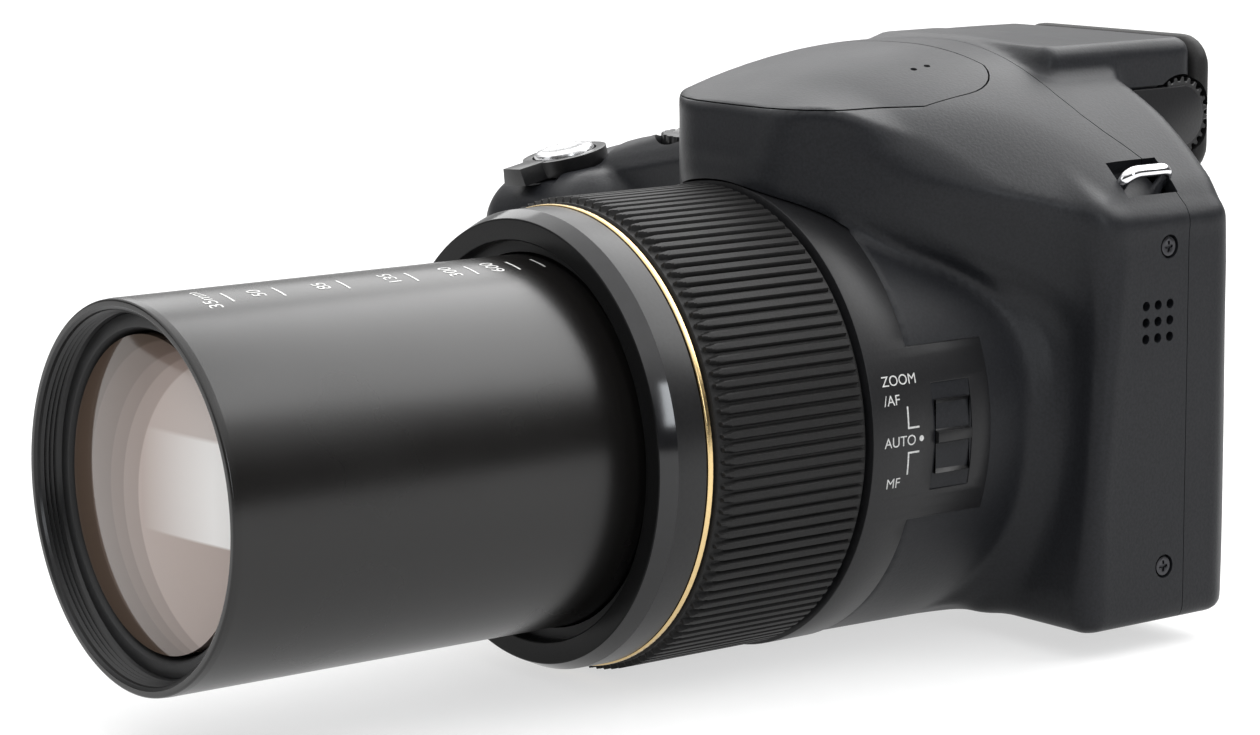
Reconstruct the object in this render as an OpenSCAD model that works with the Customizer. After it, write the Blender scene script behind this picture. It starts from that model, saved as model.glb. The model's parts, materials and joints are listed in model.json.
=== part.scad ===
// Bridge camera with a long zoom lens, drawn with the lens tube run out.
// Millimetres. +X is the camera's left side, the lens looks along -Y, +Z is up.
// The origin is the mouth of the tripod socket, on the base plane.

/* [Body] */
// Lens axis to the left side of the body
body_left = 44; // [42:0.5:48]
// Lens axis to the outside of the grip
body_right = 81; // [79:0.5:86]
// Tripod socket to the back face
body_back = 17; // [16:0.5:20]
// Tripod socket to the front face beside the lens
body_front = 8; // [7.5:0.5:10]
// Height of the top deck above the base
deck_height = 62; // [61:0.5:65]
// Height of the left shoulder above the base
shoulder_height = 64; // [62:0.5:66]
// Thickness of the casing walls
wall = 1.8; // [1.5:0.1:2.2]
// Tripod socket to the plane where front and rear shells part
parting_depth = 7.3; // [6.5:0.1:8]
// Rounding of the body's edges
edge_round = 5; // [4:0.5:6]
// Rounding of the grip
grip_round = 9; // [8:0.5:10]
// Reach of the grip in front of the tripod socket
grip_reach = 34.5; // [33:0.5:36]
// Width of the grip across its front
grip_width = 33; // [30:0.5:36]
// Rounding of the base edge
base_round = 2.2; // [1.5:0.1:3]

/* [Hump and viewfinder] */
// Top of the hump above the lens axis
hump_rise = 53; // [52.5:0.5:55]
// Reach of the hump in front of the tripod socket
hump_reach = 43; // [42:0.5:44]
// Width of the hump's front face
hump_width = 40; // [38:0.5:42]
// Drop of the hump's top towards its front edge
hump_drop = 6.5; // [6:0.5:8]
// Height of the flash lid's seam above the lens axis
lid_seam = 45.3; // [45:0.1:46]
// Width of the flash lid
lid_width = 40; // [38:0.5:41]
// Flash hinge in front of the tripod socket
lid_hinge_depth = 10.8; // [10:0.1:12]
// Flash hinge above the lens axis
lid_hinge_rise = 48.7; // [48.5:0.1:49]
// Width of the viewfinder housing
finder_width = 40; // [38:0.5:42]
// Tripod socket to the back of the eyecup
finder_back = 36.8; // [36:0.2:39]
// Thickness of the rubber eyecup
eyecup_depth = 4; // [3:0.2:5]
// Underside of the viewfinder housing above the base
finder_base = 60; // [59.5:0.5:61]
// Top of the viewfinder housing above the base
finder_top = 82; // [81:0.5:83]
// Diameter of the diopter dial
diopter_d = 10.8; // [10:0.2:11.4]

/* [Lens] */
// Height of the lens axis above the base
axis_height = 30.5; // [30:0.5:31.5]
// Outer diameter of the zoom tube
tube_d = 52.8; // [52:0.2:53]
// Length of the zoom tube that stays inside the bezel when it is run out
tube_engage = 9.6; // [8:0.2:10.4]
// Wall of the zoom tube
tube_wall = 2.2; // [2.1:0.1:2.4]
// Reach of the tube past the front bezel when run out
tube_reach = 63.4; // [62:0.2:64]
// Travel of the tube when it draws in
tube_travel = 56; // [50:0.5:56]
// Nominal filter thread diameter
filter_d = 49; // [48.8:0.1:49.2]
// Depth of the filter thread
filter_depth = 3.6; // [3:0.2:4.2]
// Tripod socket to the front bezel
bezel_front = 80; // [79:0.5:81]
// Length of the front bezel ring
bezel_len = 7.4; // [6:0.2:8]
// Diameter of the bezel's mouth
mouth_d = 56.5; // [56.5:0.1:57]
// Outer diameter of the bezel
bezel_d = 65.4; // [64.8:0.2:66]
// Length of the gold trim ring
trim_len = 1; // [0.8:0.1:1.4]
// Length of the ribbed ring
ring_len = 26.7; // [25:0.1:27]
// Outer diameter over the ribs
ring_d = 67.6; // [67:0.2:68]
// Height of a rib
rib_height = 0.8; // [0.5:0.1:1]
// Number of ribs
rib_count = 120; // [90:6:144]
// Diameter of the lens collar
collar_d = 68.4; // [68.2:0.1:69.4]
// Length of the lens collar
collar_len = 8.1; // [7:0.1:9]
// Diameter of the barrel root where it meets the body
root_d = 68.8; // [68.6:0.1:70]
// Turn of the cam barrel over the full travel, degrees
cam_turn = 150; // [120:5:160]
// Diameter of a follower pin
pin_d = 2; // [1.8:0.1:2.2]
// Travel of the focus lens
focus_travel = 7; // [5:0.5:9]

/* [Screen] */
// Width of the screen panel
screen_w = 72; // [68:0.5:73]
// Height of the screen panel
screen_h = 52; // [48:0.5:53]
// Thickness of the screen panel
screen_t = 5; // [4:0.1:5.4]
// Left side of the body to the screen hinge
hinge_inset = 5.4; // [5:0.1:6]
// Radius of the screen hinge knuckles
knuckle_r = 1.8; // [1.5:0.1:2]

/* [Controls] */
// Diameter of the shutter button
release_d = 10.8; // [10:0.2:11.4]
// Outer diameter of the zoom lever
lever_d = 15; // [14.6:0.2:16]
// Diameter of the mode dial
dial_d = 20; // [18:0.5:21]
// Height of the mode dial
dial_h = 3.9; // [3:0.1:5]
// Diameter of the small buttons
button_d = 7.2; // [6:0.2:7.6]
// Stand of a button above its face
button_stand = 0.7; // [0.4:0.1:1]
// Diameter of the four-way pad
pad_d = 20; // [18:0.5:21]
// Travel of the focus switch to each side
switch_travel = 2; // [1.5:0.1:2.2]

/* [Openings and fasteners] */
// Tripod thread, diameter of its wall
tripod_d = 6.35; // [6:0.05:6.5]
// Depth of the tripod thread
tripod_depth = 5.5; // [5:0.1:6]
// Outer diameter of the tripod socket
socket_d = 12; // [11:0.5:13]
// Running clearance between moving pieces
gap = 0.35; // [0.3:0.05:0.4]
// Hole diameter of the speaker grille
grille_d = 1.2; // [1:0.1:1.4]
// Pitch of the speaker grille
grille_pitch = 2.4; // [2:0.1:2.8]
// Head diameter of the small screws
screw_head_d = 2.8; // [2.4:0.1:3.2]

/* [Hidden] */
$fn = 64;
ball_fn = 24;
far = 300;
eps = 0.01;

// Radii of the lens, from the glass outwards
tube_r = tube_d / 2;
tube_bore = tube_r - tube_wall;
cam_in = tube_r + 0.5;
cam_out = cam_in + 1;
guide_in = cam_out + gap;
guide_out = guide_in + 1.5;
mouth_r = max(mouth_d / 2, guide_in);
ring_in = guide_out + gap;
ring_r = ring_d / 2;
collar_r = collar_d / 2;
root_r = root_d / 2;
barrel_in = guide_out + 3;
// Places along the lens axis
bezel_y = -bezel_front;
trim_y = bezel_y + bezel_len;
ring_y = trim_y + trim_len + gap;
collar_y = ring_y + ring_len + gap;
barrel_y = collar_y + collar_len;
rim_y = bezel_y - tube_reach;
tube_len = tube_reach + tube_engage;
tube_end = rim_y + tube_len;
pin_y = tube_end - 2.5;
mount_y = tube_end + tube_travel + 1.5;
lens_seat = rim_y + filter_depth + 1.8;
glass_r = tube_bore - 0.05;
glass_edge = 7;
throat_r = tube_r + 0.1;
clear_r = tube_bore - 2.6;
// Places on the casing
hump_top = axis_height + hump_rise;
seam_z = axis_height + lid_seam;
hinge_y = -lid_hinge_depth;
hinge_z = axis_height + lid_hinge_rise;
hinge_roll = hump_top - hinge_z + 0.3;
finder_r = 3;
eyecup_y = finder_back - eyecup_depth;
dial_axis_y = finder_back - diopter_d / 2 - 1.4;
dial_axis_z = (finder_base + finder_top) / 2 - 0.3;
screen_x = body_left - hinge_inset - knuckle_r - gap;
screen_z = 4.5;
screen_axis_y = body_back + 0.2;
release_at = [-body_right + 15, -grip_reach + 11.5, deck_height - 1.6];
release_tilt = [11, -4, 0];
dial_at = [-40, -11];
bridge_round = 7;
grip_x = -body_right + grip_width;
panel_back = 22;
panel_low = axis_height - 11.8;
panel_high = axis_height + 13;
switch_y = -29.3;
door_x = -body_right + 4;
door_w = 24;
door_y = -grip_reach + 8.5;
door_d = 34;
door_t = wall;
port_z = 20;
port_h = 18;
port_y = -8;
port_w = 12;
plate_y = 2;
plate_t = 1.2;
grille_z = axis_height + 14.3;
grille_y = 1.3;
screw_y = 3.4;
button_back = 2.9;

black = [0.12, 0.12, 0.13];
dark = [0.2, 0.2, 0.21];
grey = [0.45, 0.46, 0.48];
silver = [0.8, 0.8, 0.82];
gold = [0.85, 0.68, 0.35];
glass = [0.75, 0.68, 0.66];
board = [0.1, 0.35, 0.2];

// Places its children along the lens axis: local z runs from the lens to the back
module on_axis(y) {
    translate([0, y, axis_height])
        rotate([-90, 0, 0])
            children();
}

// A plain tube on the lens axis from y to y plus len
module lens_tube(y, len, r_out, r_in) {
    on_axis(y)
        difference() {
            cylinder(r = r_out, h = len);
            translate([0, 0, -1])
                cylinder(r = r_in, h = len + 2);
        }
}

// A rounded corner at a place given on the outer surface's rounding centre
module corner(at, r) {
    translate(at)
        sphere(r = r, $fn = ball_fn);
}

// A base corner with a small rounding where it meets the ground
module foot(x, y, r, inset) {
    for (lift = [0, base_round])
        translate([x, y, inset + lift])
            cylinder(r = r - inset - base_round + lift, h = eps, $fn = ball_fn);
}

// The block behind the lens, pulled in by inset
module main_form(inset) {
    r = edge_round - inset;
    left = body_left - edge_round;
    right = -body_right + 24;
    back = body_back - edge_round;
    hull() {
        for (x = [left, right]) {
            foot(x, -body_front - 4 + edge_round, edge_round, inset);
            foot(x, back, edge_round, inset);
            corner([x, -body_front + edge_round, deck_height - edge_round], r);
            corner([x, back, deck_height - edge_round], r);
        }
    }
}

// The hump over the lens with the left shoulder
module hump_form(inset) {
    r = edge_round - inset;
    front = hump_width / 2 - edge_round;
    crest = hump_top - edge_round;
    left = body_left - edge_round;
    shoulder = shoulder_height - edge_round;
    hull() {
        for (side = [-1, 1]) {
            corner([side * front, -hump_reach + edge_round, crest - hump_drop], r);
            corner([side * (front - 2), -hump_reach / 2, crest - 1.5], r);
            corner([side * (front - 1), 0, crest], r);
            corner([side * (front - 1), 10, crest - 0.5], r);
        }
        for (y = [-body_front + edge_round, body_back - edge_round]) {
            corner([left, y, shoulder], r);
            corner([-26, y, deck_height - edge_round], r);
            corner([left - 4, y, axis_height + 20], r);
            corner([-26, y, axis_height + 20], r);
        }
    }
}

// The grip, with a top that falls towards its front
module grip_form(inset) {
    r = grip_round - inset;
    outer = -body_right + grip_round;
    inner = grip_x - grip_round;
    front = -grip_reach + grip_round;
    back = body_back - grip_round;
    top = deck_height - grip_round;
    hull() {
        for (x = [outer, inner])
            for (y = [front, back])
                foot(x, y, grip_round, inset);
        corner([outer + 1, front + 1, top - 3.5], r);
        corner([inner + 1, front + 1, top - 2], r);
        for (y = [0, back]) {
            corner([outer, y, top - 0.5], r);
            corner([inner + 8, y, top], r);
        }
    }
}

// The top of the body between the grip and the hump
module bridge_form(inset) {
    hull()
        for (x = [grip_x - 4, -22])
            for (y = [-18, 4])
                for (z = [axis_height + 22, deck_height - bridge_round])
                    corner([x, y, z], bridge_round - inset);
}

// The viewfinder housing
module finder_form(inset) {
    r = finder_r - inset;
    half = finder_width / 2 - finder_r;
    hull()
        for (x = [-half, half])
            for (y = [4, eyecup_y - finder_r])
                for (z = [finder_base + finder_r, finder_top - finder_r])
                    corner([x, y, z], max(r, 0.4));
}

// The concave spread where the barrel meets the body, drawn as a short cone
module flare_form(inset) {
    intersection() {
        on_axis(-body_front - 7)
            cylinder(r1 = root_r - inset, r2 = root_r + 4 - inset, h = 12);
        translate([-far / 2, -far / 2, inset])
            cube([far, far, far]);
    }
}

module casing_form(inset) {
    main_form(inset);
    hump_form(inset);
    grip_form(inset);
    bridge_form(inset);
    finder_form(inset);
    flare_form(inset);
}

module casing_wall() {
    difference() {
        casing_form(0);
        casing_form(wall);
    }
}

// Seat of the shutter button on its tilted deck: local z is the button's axis
module at_release() {
    translate(release_at)
        rotate(release_tilt)
            children();
}

// Space swept by the flash lid, grown by grow
module lid_zone(grow) {
    half = lid_width / 2 + grow;
    translate([-half, -far, seam_z - grow])
        cube([2 * half, far + hinge_y, far]);
    translate([-half, hinge_y, hinge_z])
        rotate([0, 90, 0])
            cylinder(r = hinge_roll + grow, h = 2 * half);
}

// Rooms for a row of things that share one size
button_spots = [
    ["record", -body_right + 23, 49.5],
    ["play", -body_right + 14, 41.5],
    ["menu", -body_right + 32, 41.5],
    ["delete", -body_right + 14, 9.5]
];
pad_spot = [-body_right + 24, 24];
top_spots = [["power", -body_right + 24, 2.4], ["function", -body_right + 35, 2.4]];

// A button with a flange behind its face; local z points out of the face
module button(d, stand) {
    cylinder(d = d, h = button_back + stand - 0.4);
    translate([0, 0, button_back + stand - 0.4])
        cylinder(d1 = d, d2 = d - 0.8, h = 0.4);
    cylinder(d = d + 1.6, h = button_back - wall - gap);
}

module back_place(x, z) {
    translate([x, body_back - button_back, z])
        rotate([-90, 0, 0])
            children();
}

module top_place(x, y) {
    translate([x, y, deck_height - button_back])
        children();
}

// Screw holes and heads share these places; each is [place, turn]
screw_spots = [
    [[body_left, screw_y, axis_height + 25], [0, 90, 0]],
    [[body_left, screw_y, axis_height - 22], [0, 90, 0]],
    [[body_left - 8, 3, 0], [180, 0, 0]],
    [[-26, 3, 0], [180, 0, 0]]
];
screw_len = 5;
screw_head_h = 0.9;

module at_screw(spot) {
    translate(spot[0])
        rotate(spot[1])
            children();
}

// The pocket of a strap lug: side is 1 on the left and -1 on the grip side
lug_spots = [[body_left - 5.4, -0.6, shoulder_height - 1.4, 1], [-body_right + 6, 0.4, deck_height - 8, -1]];
lug_len = 11;
lug_out = 5.4;
lug_bar = 1.7;
lug_foot = 1.6;

module at_lug(spot) {
    translate([spot[0], spot[1], spot[2]])
        rotate([0, spot[3] * -35, 0])
            mirror([spot[3] < 0 ? 1 : 0, 0, 0])
                children();
}

// Recess round a lug and the two slots in its floor that hold the lug's feet
module lug_pocket() {
    translate([0, -lug_len / 2 - 0.9, -lug_bar / 2 - 1.6])
        cube([12, lug_len + 1.8, lug_bar + 3.2]);
    for (side = [-1, 1])
        translate([-lug_foot, side * (lug_len - lug_bar) / 2 - lug_bar / 2, -lug_bar / 2])
            cube([lug_foot + 1, lug_bar, lug_bar]);
}

module lug_block() {
    translate([-lug_foot - 1.2, -lug_len / 2 - 2.2, -lug_bar / 2 - 2.8])
        cube([lug_foot + 8, lug_len + 4.4, lug_bar + 5.6]);
}

module front_shell() {
    color(black)
        difference() {
            intersection() {
                union() {
                    casing_wall();
                    on_axis(barrel_y)
                        cylinder(r1 = collar_r - 0.4, r2 = root_r, h = -barrel_y - body_front);
                    at_release()
                        translate([0, 0, -6])
                            cylinder(d = lever_d + 1, h = 6);
                    chassis_posts();
                    screw_bosses();
                    grip_posts();
                    intersection() {
                        for (spot = lug_spots)
                            at_lug(spot)
                                lug_block();
                        casing_form(0.4);
                    }
                }
                translate([-far / 2, -far, -far / 2])
                    cube([far, far + parting_depth, far]);
            }
            lens_room();
            lid_zone(gap);
            flash_room();
            at_release()
                translate([0, 0, -far])
                    cylinder(d = 5.2 + 2 * gap, h = 2 * far, $fn = 32);
            at_release()
                cylinder(d = lever_d + 2.4, h = 20);
            translate([dial_at[0], dial_at[1], deck_height - 8])
                cylinder(d = 5 + 2 * gap, h = 20, $fn = 32);
            translate([dial_at[0], dial_at[1], deck_height])
                cylinder(d = dial_d + 2, h = 20, $fn = 48);
            for (spot = top_spots)
                top_place(spot[1], spot[2])
                    translate([0, 0, -2])
                        cylinder(d = button_d + 2 * gap, h = 20, $fn = 32);
            door_room();
            port_room();
            for (spot = screw_spots)
                at_screw(spot)
                    screw_room();
            for (spot = lug_spots)
                at_lug(spot)
                    lug_pocket();
            grille();
            translate([0, 0, -1])
                cylinder(d = socket_d, h = tripod_depth + 4);
        }
}

// Everything inside the lens barrel and round the collar and ring is clear
module lens_room() {
    on_axis(-far)
        cylinder(r = collar_r + gap, h = far + barrel_y);
    on_axis(-far)
        cylinder(r = barrel_in, h = far + mount_y + 2);
    on_axis(-far)
        cylinder(r = throat_r, h = far + plate_y - gap);
    intersection() {
        on_axis(-far)
            cylinder(r = collar_r + gap, h = far);
        panel_block(gap);
    }
}

// The block that the collar's switch panel fills
module panel_block(grow) {
    translate([20, barrel_y - 2, panel_low - grow])
        cube([30, -panel_back - barrel_y + 2 + grow, panel_high - panel_low + 2 * grow]);
}

// Room for the flash head to rise through the hump's front
module flash_room() {
    translate([-hump_width / 2 + 5, -hump_reach + 4, axis_height + root_r + gap])
        cube([hump_width - 10, hump_reach - 4 + hinge_y, far / 4]);
}

// Posts that carry the chassis, grown from the front wall
chassis_spots = [[-42, 12], [-42, 46], [body_left - 10, 12], [body_left - 10, 52]];

module chassis_posts() {
    intersection() {
        for (spot = chassis_spots)
            translate([spot[0], -body_front - 4, spot[1]])
                rotate([-90, 0, 0])
                    cylinder(r = 2.6, h = body_front + 4 + plate_y, $fn = 24);
        main_form(0.4);
    }
}

module screw_bosses() {
    for (spot = screw_spots)
        at_screw(spot)
            translate([0, 0, -screw_len - 1.5])
                cylinder(r = 2.4, h = screw_len + 1, $fn = 24);
}

module screw_room() {
    translate([0, 0, -screw_head_h])
        cylinder(d = screw_head_d + 2 * gap, h = 4, $fn = 24);
    translate([0, 0, -screw_len - 0.2])
        cylinder(d = screw_head_d / 2 + 0.2, h = 8, $fn = 24);
}

// Ribs inside the grip that hold the battery upright
module grip_posts() {
    front = -grip_reach + 1.4;
    translate([door_x + 19.2 + gap, front, 10])
        cube([1.2, door_y + door_d - front - 6, 28]);
    translate([door_x + 4, front, 30])
        cube([door_w - 9, door_y + 4 - front, 3]);
}

module grille() {
    for (row = [-1:1])
        for (column = [-1:1])
            translate([body_left - 6, grille_y + column * grille_pitch, grille_z + row * grille_pitch])
                rotate([0, 90, 0])
                    cylinder(d = grille_d, h = 10, $fn = 16);
}

// Opening for the battery door, its battery and card, and the sockets of its pintles
module door_room() {
    translate([door_x - gap, door_y - gap, -1])
        cube([door_w + 2 * gap, door_d + 2 * gap, door_t + 1 + gap]);
    translate([door_x + 1, door_y + 1.5, -1])
        cube([door_w - 2, door_d - 3, 10]);
    translate([door_x + door_w - door_t / 2, door_y - pintle, door_t / 2])
        rotate([-90, 0, 0])
            cylinder(r = pintle_r + 0.08, h = door_d + 2 * pintle, $fn = 24);
}

pintle = 1.8;
pintle_r = 0.45;
cover_t = 1.4;

module port_room() {
    translate([-body_right - 1, port_y - gap, port_z - gap])
        cube([1 + cover_t + 2 * gap, port_w + 2 * gap, port_h + 2 * gap]);
    translate([-body_right - 1, port_y + 2.4, port_z + 1.5])
        cube([8, port_w - 4.6, port_h - 3]);
    translate([-body_right + cover_t / 2, port_y + port_w - cover_t / 2, port_z - pintle])
        cylinder(r = pintle_r + 0.08, h = port_h + 2 * pintle, $fn = 24);
}

module rear_shell() {
    color(black)
        difference() {
            intersection() {
                union() {
                    casing_wall();
                    intersection() {
                        screen_tray();
                        casing_form(0);
                    }
                }
                translate([-far / 2, parting_depth + 0.1, -far / 2])
                    cube([far, far, far]);
            }
            screen_room();
            translate([-finder_width / 2 + 7, eyecup_y - 6, finder_base + 3.5])
                cube([finder_width - 14, 12, finder_top - finder_base - 7]);
            diopter_room();
            for (spot = button_spots)
                back_place(spot[1], spot[2])
                    translate([0, 0, -3])
                        cylinder(d = button_d + 2 * gap, h = 10, $fn = 32);
            back_place(pad_spot[0], pad_spot[1])
                translate([0, 0, -3])
                    cylinder(d = pad_d + 2 * gap, h = 10, $fn = 48);
            door_room();
        }
}

// Recess in the back for the screen panel, and the block that it is sunk into
room_x = screen_x - screen_w - 0.5;
room_w = screen_w + 0.5 + 2 * gap + 2 * knuckle_r;
room_y = body_back - screen_t - 0.4;

module screen_room() {
    translate([room_x, room_y, screen_z - 0.5])
        cube([room_w, far, screen_h + 1]);
}

module screen_tray() {
    translate([room_x - wall, room_y - wall, screen_z - 0.5 - wall])
        cube([room_w + 2 * wall, screen_t + 0.4 + wall - eps, screen_h + 1 + 2 * wall]);
}

// Knuckles on the body that carry the hinge pin, above and below the panel's own
knuckle_spots = [screen_z + 0.3, screen_z + screen_h - 6.3];
knuckle_h = 6;
screen_pin_r = 0.75;
hinge_x = body_left - hinge_inset;

module screen_hinge() {
    color(dark)
        for (z = knuckle_spots)
            translate([hinge_x, 0, z])
                difference() {
                    union() {
                        translate([0, screen_axis_y, 0])
                            cylinder(r = knuckle_r, h = knuckle_h);
                        translate([-1, room_y, 0])
                            cube([1 + knuckle_r, screen_axis_y - room_y, knuckle_h]);
                    }
                    translate([0, screen_axis_y, -1])
                        cylinder(r = screen_pin_r, h = knuckle_h + 2);
                }
}

module diopter_room() {
    translate([finder_width / 2 - 3.2, dial_axis_y, dial_axis_z])
        rotate([0, 90, 0])
            cylinder(d = diopter_d + 2 * gap, h = 10, $fn = 48);
    translate([0, dial_axis_y, dial_axis_z])
        rotate([0, 90, 0])
            cylinder(d = 3.6 + 2 * gap, h = 30, $fn = 24);
}

module lens_collar() {
    color(black)
        difference() {
            union() {
                lens_tube(collar_y, collar_len, collar_r, barrel_in);
                intersection() {
                    lens_tube(collar_y, -panel_back - collar_y, collar_r, barrel_in);
                    panel_block(0);
                }
                lens_tube(collar_y, 1.5, collar_r - 1, guide_out);
            }
            translate([20, switch_y - 3.6, axis_height - 5.3 - switch_travel - gap])
                cube([30, 7.2, 10.6 + 2 * switch_travel + 2 * gap]);
        }
}

module focus_switch() {
    color(dark) {
        translate([barrel_in - 1.5, switch_y - 3.6 + gap, axis_height - 5.3])
            cube([collar_r - barrel_in + 1.2, 7.2 - 2 * gap, 10.6]);
        translate([barrel_in - 2.5, switch_y - 5, axis_height - 5.8])
            cube([1, 10, 11.6]);
        translate([collar_r - 0.3, switch_y - 3.6 + gap, axis_height - 0.9])
            cube([0.7, 7.2 - 2 * gap, 1.8]);
    }
}

module front_bezel() {
    bevel = 2.6;
    color(black)
        on_axis(bezel_y)
            difference() {
                union() {
                    cylinder(r1 = bezel_d / 2 - 1, r2 = bezel_d / 2, h = bevel);
                    translate([0, 0, bevel])
                        cylinder(d = bezel_d, h = bezel_len - bevel);
                }
                translate([0, 0, -1])
                    cylinder(r = mouth_r, h = 4);
                translate([0, 0, 2])
                    cylinder(r = guide_out, h = bezel_len);
            }
}

module gold_trim_ring() {
    color(gold)
        lens_tube(trim_y, trim_len, bezel_d / 2 + 0.1, guide_out);
}

// Fixed barrel with three straight grooves that stop the tube from turning
module guide_barrel() {
    color(dark)
        difference() {
            union() {
                lens_tube(bezel_y + 2, mount_y - bezel_y - 2, guide_out, guide_in);
                lens_tube(mount_y - 2, 2, barrel_in - gap, guide_in);
            }
            on_axis(pin_y - pin_d - 1)
                for (turn = [0, 120, 240])
                    rotate([0, 0, turn + 60])
                        translate([guide_in - 1, -pin_d / 2 - gap, 0])
                            cube([1 + 1, pin_d + 2 * gap, tube_travel + 2 * pin_d + 4]);
        }
}

module barrel_seal() {
    color(black)
        lens_tube(bezel_y + 2.2, 1, guide_in, tube_r + 0.3);
}

// Helical slots let the followers ride as the barrel turns
module cam_barrel() {
    start = pin_y - pin_d - 0.6;
    span = tube_travel + 2 * pin_d + 1.2;
    turn_per_mm = cam_turn / tube_travel;
    slope = cam_turn * PI / 180 * cam_out / tube_travel;
    slot_w = (pin_d + 3 * gap) * sqrt(1 + slope * slope);
    color(grey)
        difference() {
            lens_tube(bezel_y + 3.6, mount_y - gap - bezel_y - 3.6, cam_out, cam_in);
            on_axis(start)
                for (turn = [0, 120, 240])
                    rotate([0, 0, turn + 60 + turn_per_mm * (pin_y - start)])
                        linear_extrude(height = span, twist = span * turn_per_mm, slices = 40, $fn = 4)
                            translate([cam_in - 0.6, -slot_w / 2])
                                square([2.2, slot_w]);
        }
}

module follower_pins() {
    color(silver)
        on_axis(pin_y)
            for (turn = [0, 120, 240])
                rotate([0, 0, turn + 60])
                    translate([tube_r - 1.2, 0, 0])
                        rotate([0, 90, 0])
                            cylinder(d = pin_d, h = guide_in + 0.6 - tube_r + 1.2);
}

module zoom_tube() {
    color(dark)
        difference() {
            lens_tube(rim_y, tube_len, tube_r, tube_bore);
            on_axis(rim_y - 1)
                cylinder(d = filter_d, h = filter_depth + 1);
            on_axis(pin_y)
                for (turn = [0, 120, 240])
                    rotate([0, 0, turn + 60])
                        translate([tube_r - 1.2, 0, 0])
                            rotate([0, 90, 0])
                                cylinder(d = pin_d, h = 4);
        }
}

module lens_retainer() {
    color(black)
        on_axis(rim_y + filter_depth)
            difference() {
                cylinder(r = tube_bore, h = 1.8);
                translate([0, 0, -eps])
                    cylinder(r1 = clear_r + 0.7, r2 = clear_r, h = 1.8 + 2 * eps);
            }
}

module front_lens() {
    rise = 1.4;
    curve = (clear_r * clear_r + rise * rise) / (2 * rise);
    color(glass)
        on_axis(lens_seat) {
            cylinder(r = glass_r, h = glass_edge);
            intersection() {
                translate([0, 0, curve - rise])
                    sphere(r = curve);
                translate([0, 0, -rise])
                    cylinder(r = clear_r - 0.1, h = rise + 1);
            }
        }
}

cell_y = lens_seat + glass_edge;
cell_len = 26;
cell_in = 19;

module lens_cell() {
    color(black)
        difference() {
            lens_tube(cell_y, cell_len, tube_bore, cell_in);
            on_axis(cell_y + cell_len - 8)
                cylinder(r = cell_in + 2, h = 10);
        }
}

module second_lens() {
    color(glass)
        on_axis(cell_y + cell_len - 8)
            difference() {
                cylinder(r = cell_in + 2, h = 7);
                translate([0, 0, -36])
                    sphere(r = 39);
            }
}

carriage_y = mount_y - focus_travel - 17;
rod_r = 1;
rod_spots = [-18.5, 18.5];

module focus_carriage() {
    color(dark)
        difference() {
            lens_tube(carriage_y, 6, 20.5, 14);
            for (x = rod_spots)
                translate([x, carriage_y - 1, axis_height])
                    rotate([-90, 0, 0])
                        cylinder(r = rod_r + 0.05, h = 10);
        }
}

module focus_lens() {
    color(glass)
        on_axis(carriage_y + 0.5)
            intersection() {
                cylinder(r = 14, h = 5);
                translate([0, 0, 30])
                    sphere(r = 30);
            }
}

module guide_rods() {
    color(silver)
        for (x = rod_spots)
            translate([x, carriage_y - 4, axis_height])
                rotate([-90, 0, 0])
                    cylinder(r = rod_r, h = mount_y - carriage_y + 4);
}

module ring_carrier() {
    color(dark)
        lens_tube(ring_y, ring_len, ring_r - rib_height - 1.4, ring_in);
}

// Rubber sleeve with a rib for each tooth of the pattern
module ring_grip() {
    root = ring_r - rib_height;
    rib_w = PI * ring_d / rib_count * 0.55;
    color(black)
        on_axis(ring_y)
            linear_extrude(height = ring_len)
                difference() {
                    union() {
                        circle(r = root);
                        for (i = [0:rib_count - 1])
                            rotate(i * 360 / rib_count)
                                translate([root - 0.2, -rib_w / 2])
                                    square([rib_height + 0.2, rib_w]);
                    }
                    circle(r = root - 1.4);
                }
}

module sensor_mount() {
    color(dark)
        difference() {
            lens_tube(mount_y, 2, barrel_in - gap, 0.5);
            translate([-8, mount_y - 1, axis_height - 6.5])
                cube([16, 4, 13]);
        }
}

module image_sensor() {
    color(grey)
        translate([-7.9, mount_y + 0.6, axis_height - 6.4])
            cube([15.8, 1.4, 12.8]);
}

module sensor_board() {
    color(board)
        translate([-18, mount_y + 2, axis_height - 15])
            cube([36, 1.2, 30]);
}

// Plate on the shell's posts, with pillars that press the lens unit forward
module chassis_frame() {
    posts = [[0, 19.5], [21.5, 0], [0, -19.5], [-21.5, 0]];
    color(grey) {
        difference() {
            translate([-46, plate_y, 8])
                cube([body_left - 7.4 + 46, plate_t, deck_height - 14]);
            translate([-52, plate_y - 1, deck_height - 12])
                cube([20, 4, 20]);
            for (spot = chassis_spots)
                translate([spot[0], plate_y - 1, spot[1]])
                    rotate([-90, 0, 0])
                        cylinder(r = 1, h = 4);
        }
        for (post = posts)
            translate([post[0], mount_y + 2, axis_height + post[1]])
                rotate([-90, 0, 0])
                    cylinder(r = 2.4, h = plate_y - mount_y - 2);
        for (x = board_posts)
            for (z = board_rows)
                translate([x, plate_y + plate_t, z])
                    rotate([-90, 0, 0])
                        cylinder(r = 1.8, h = 1.4);
    }
}

board_y = plate_y + plate_t + 1.4;
board_posts = [-34, body_left - 16];
board_rows = [13, deck_height - 14];

module main_board() {
    color(board)
        difference() {
            translate([-38, board_y, 9])
                cube([body_left - 12 + 38, 1.2, deck_height - 19]);
            for (x = board_posts)
                for (z = board_rows)
                    translate([x, board_y - 1, z])
                        rotate([-90, 0, 0])
                            cylinder(r = 0.9, h = 4);
        }
}

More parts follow.
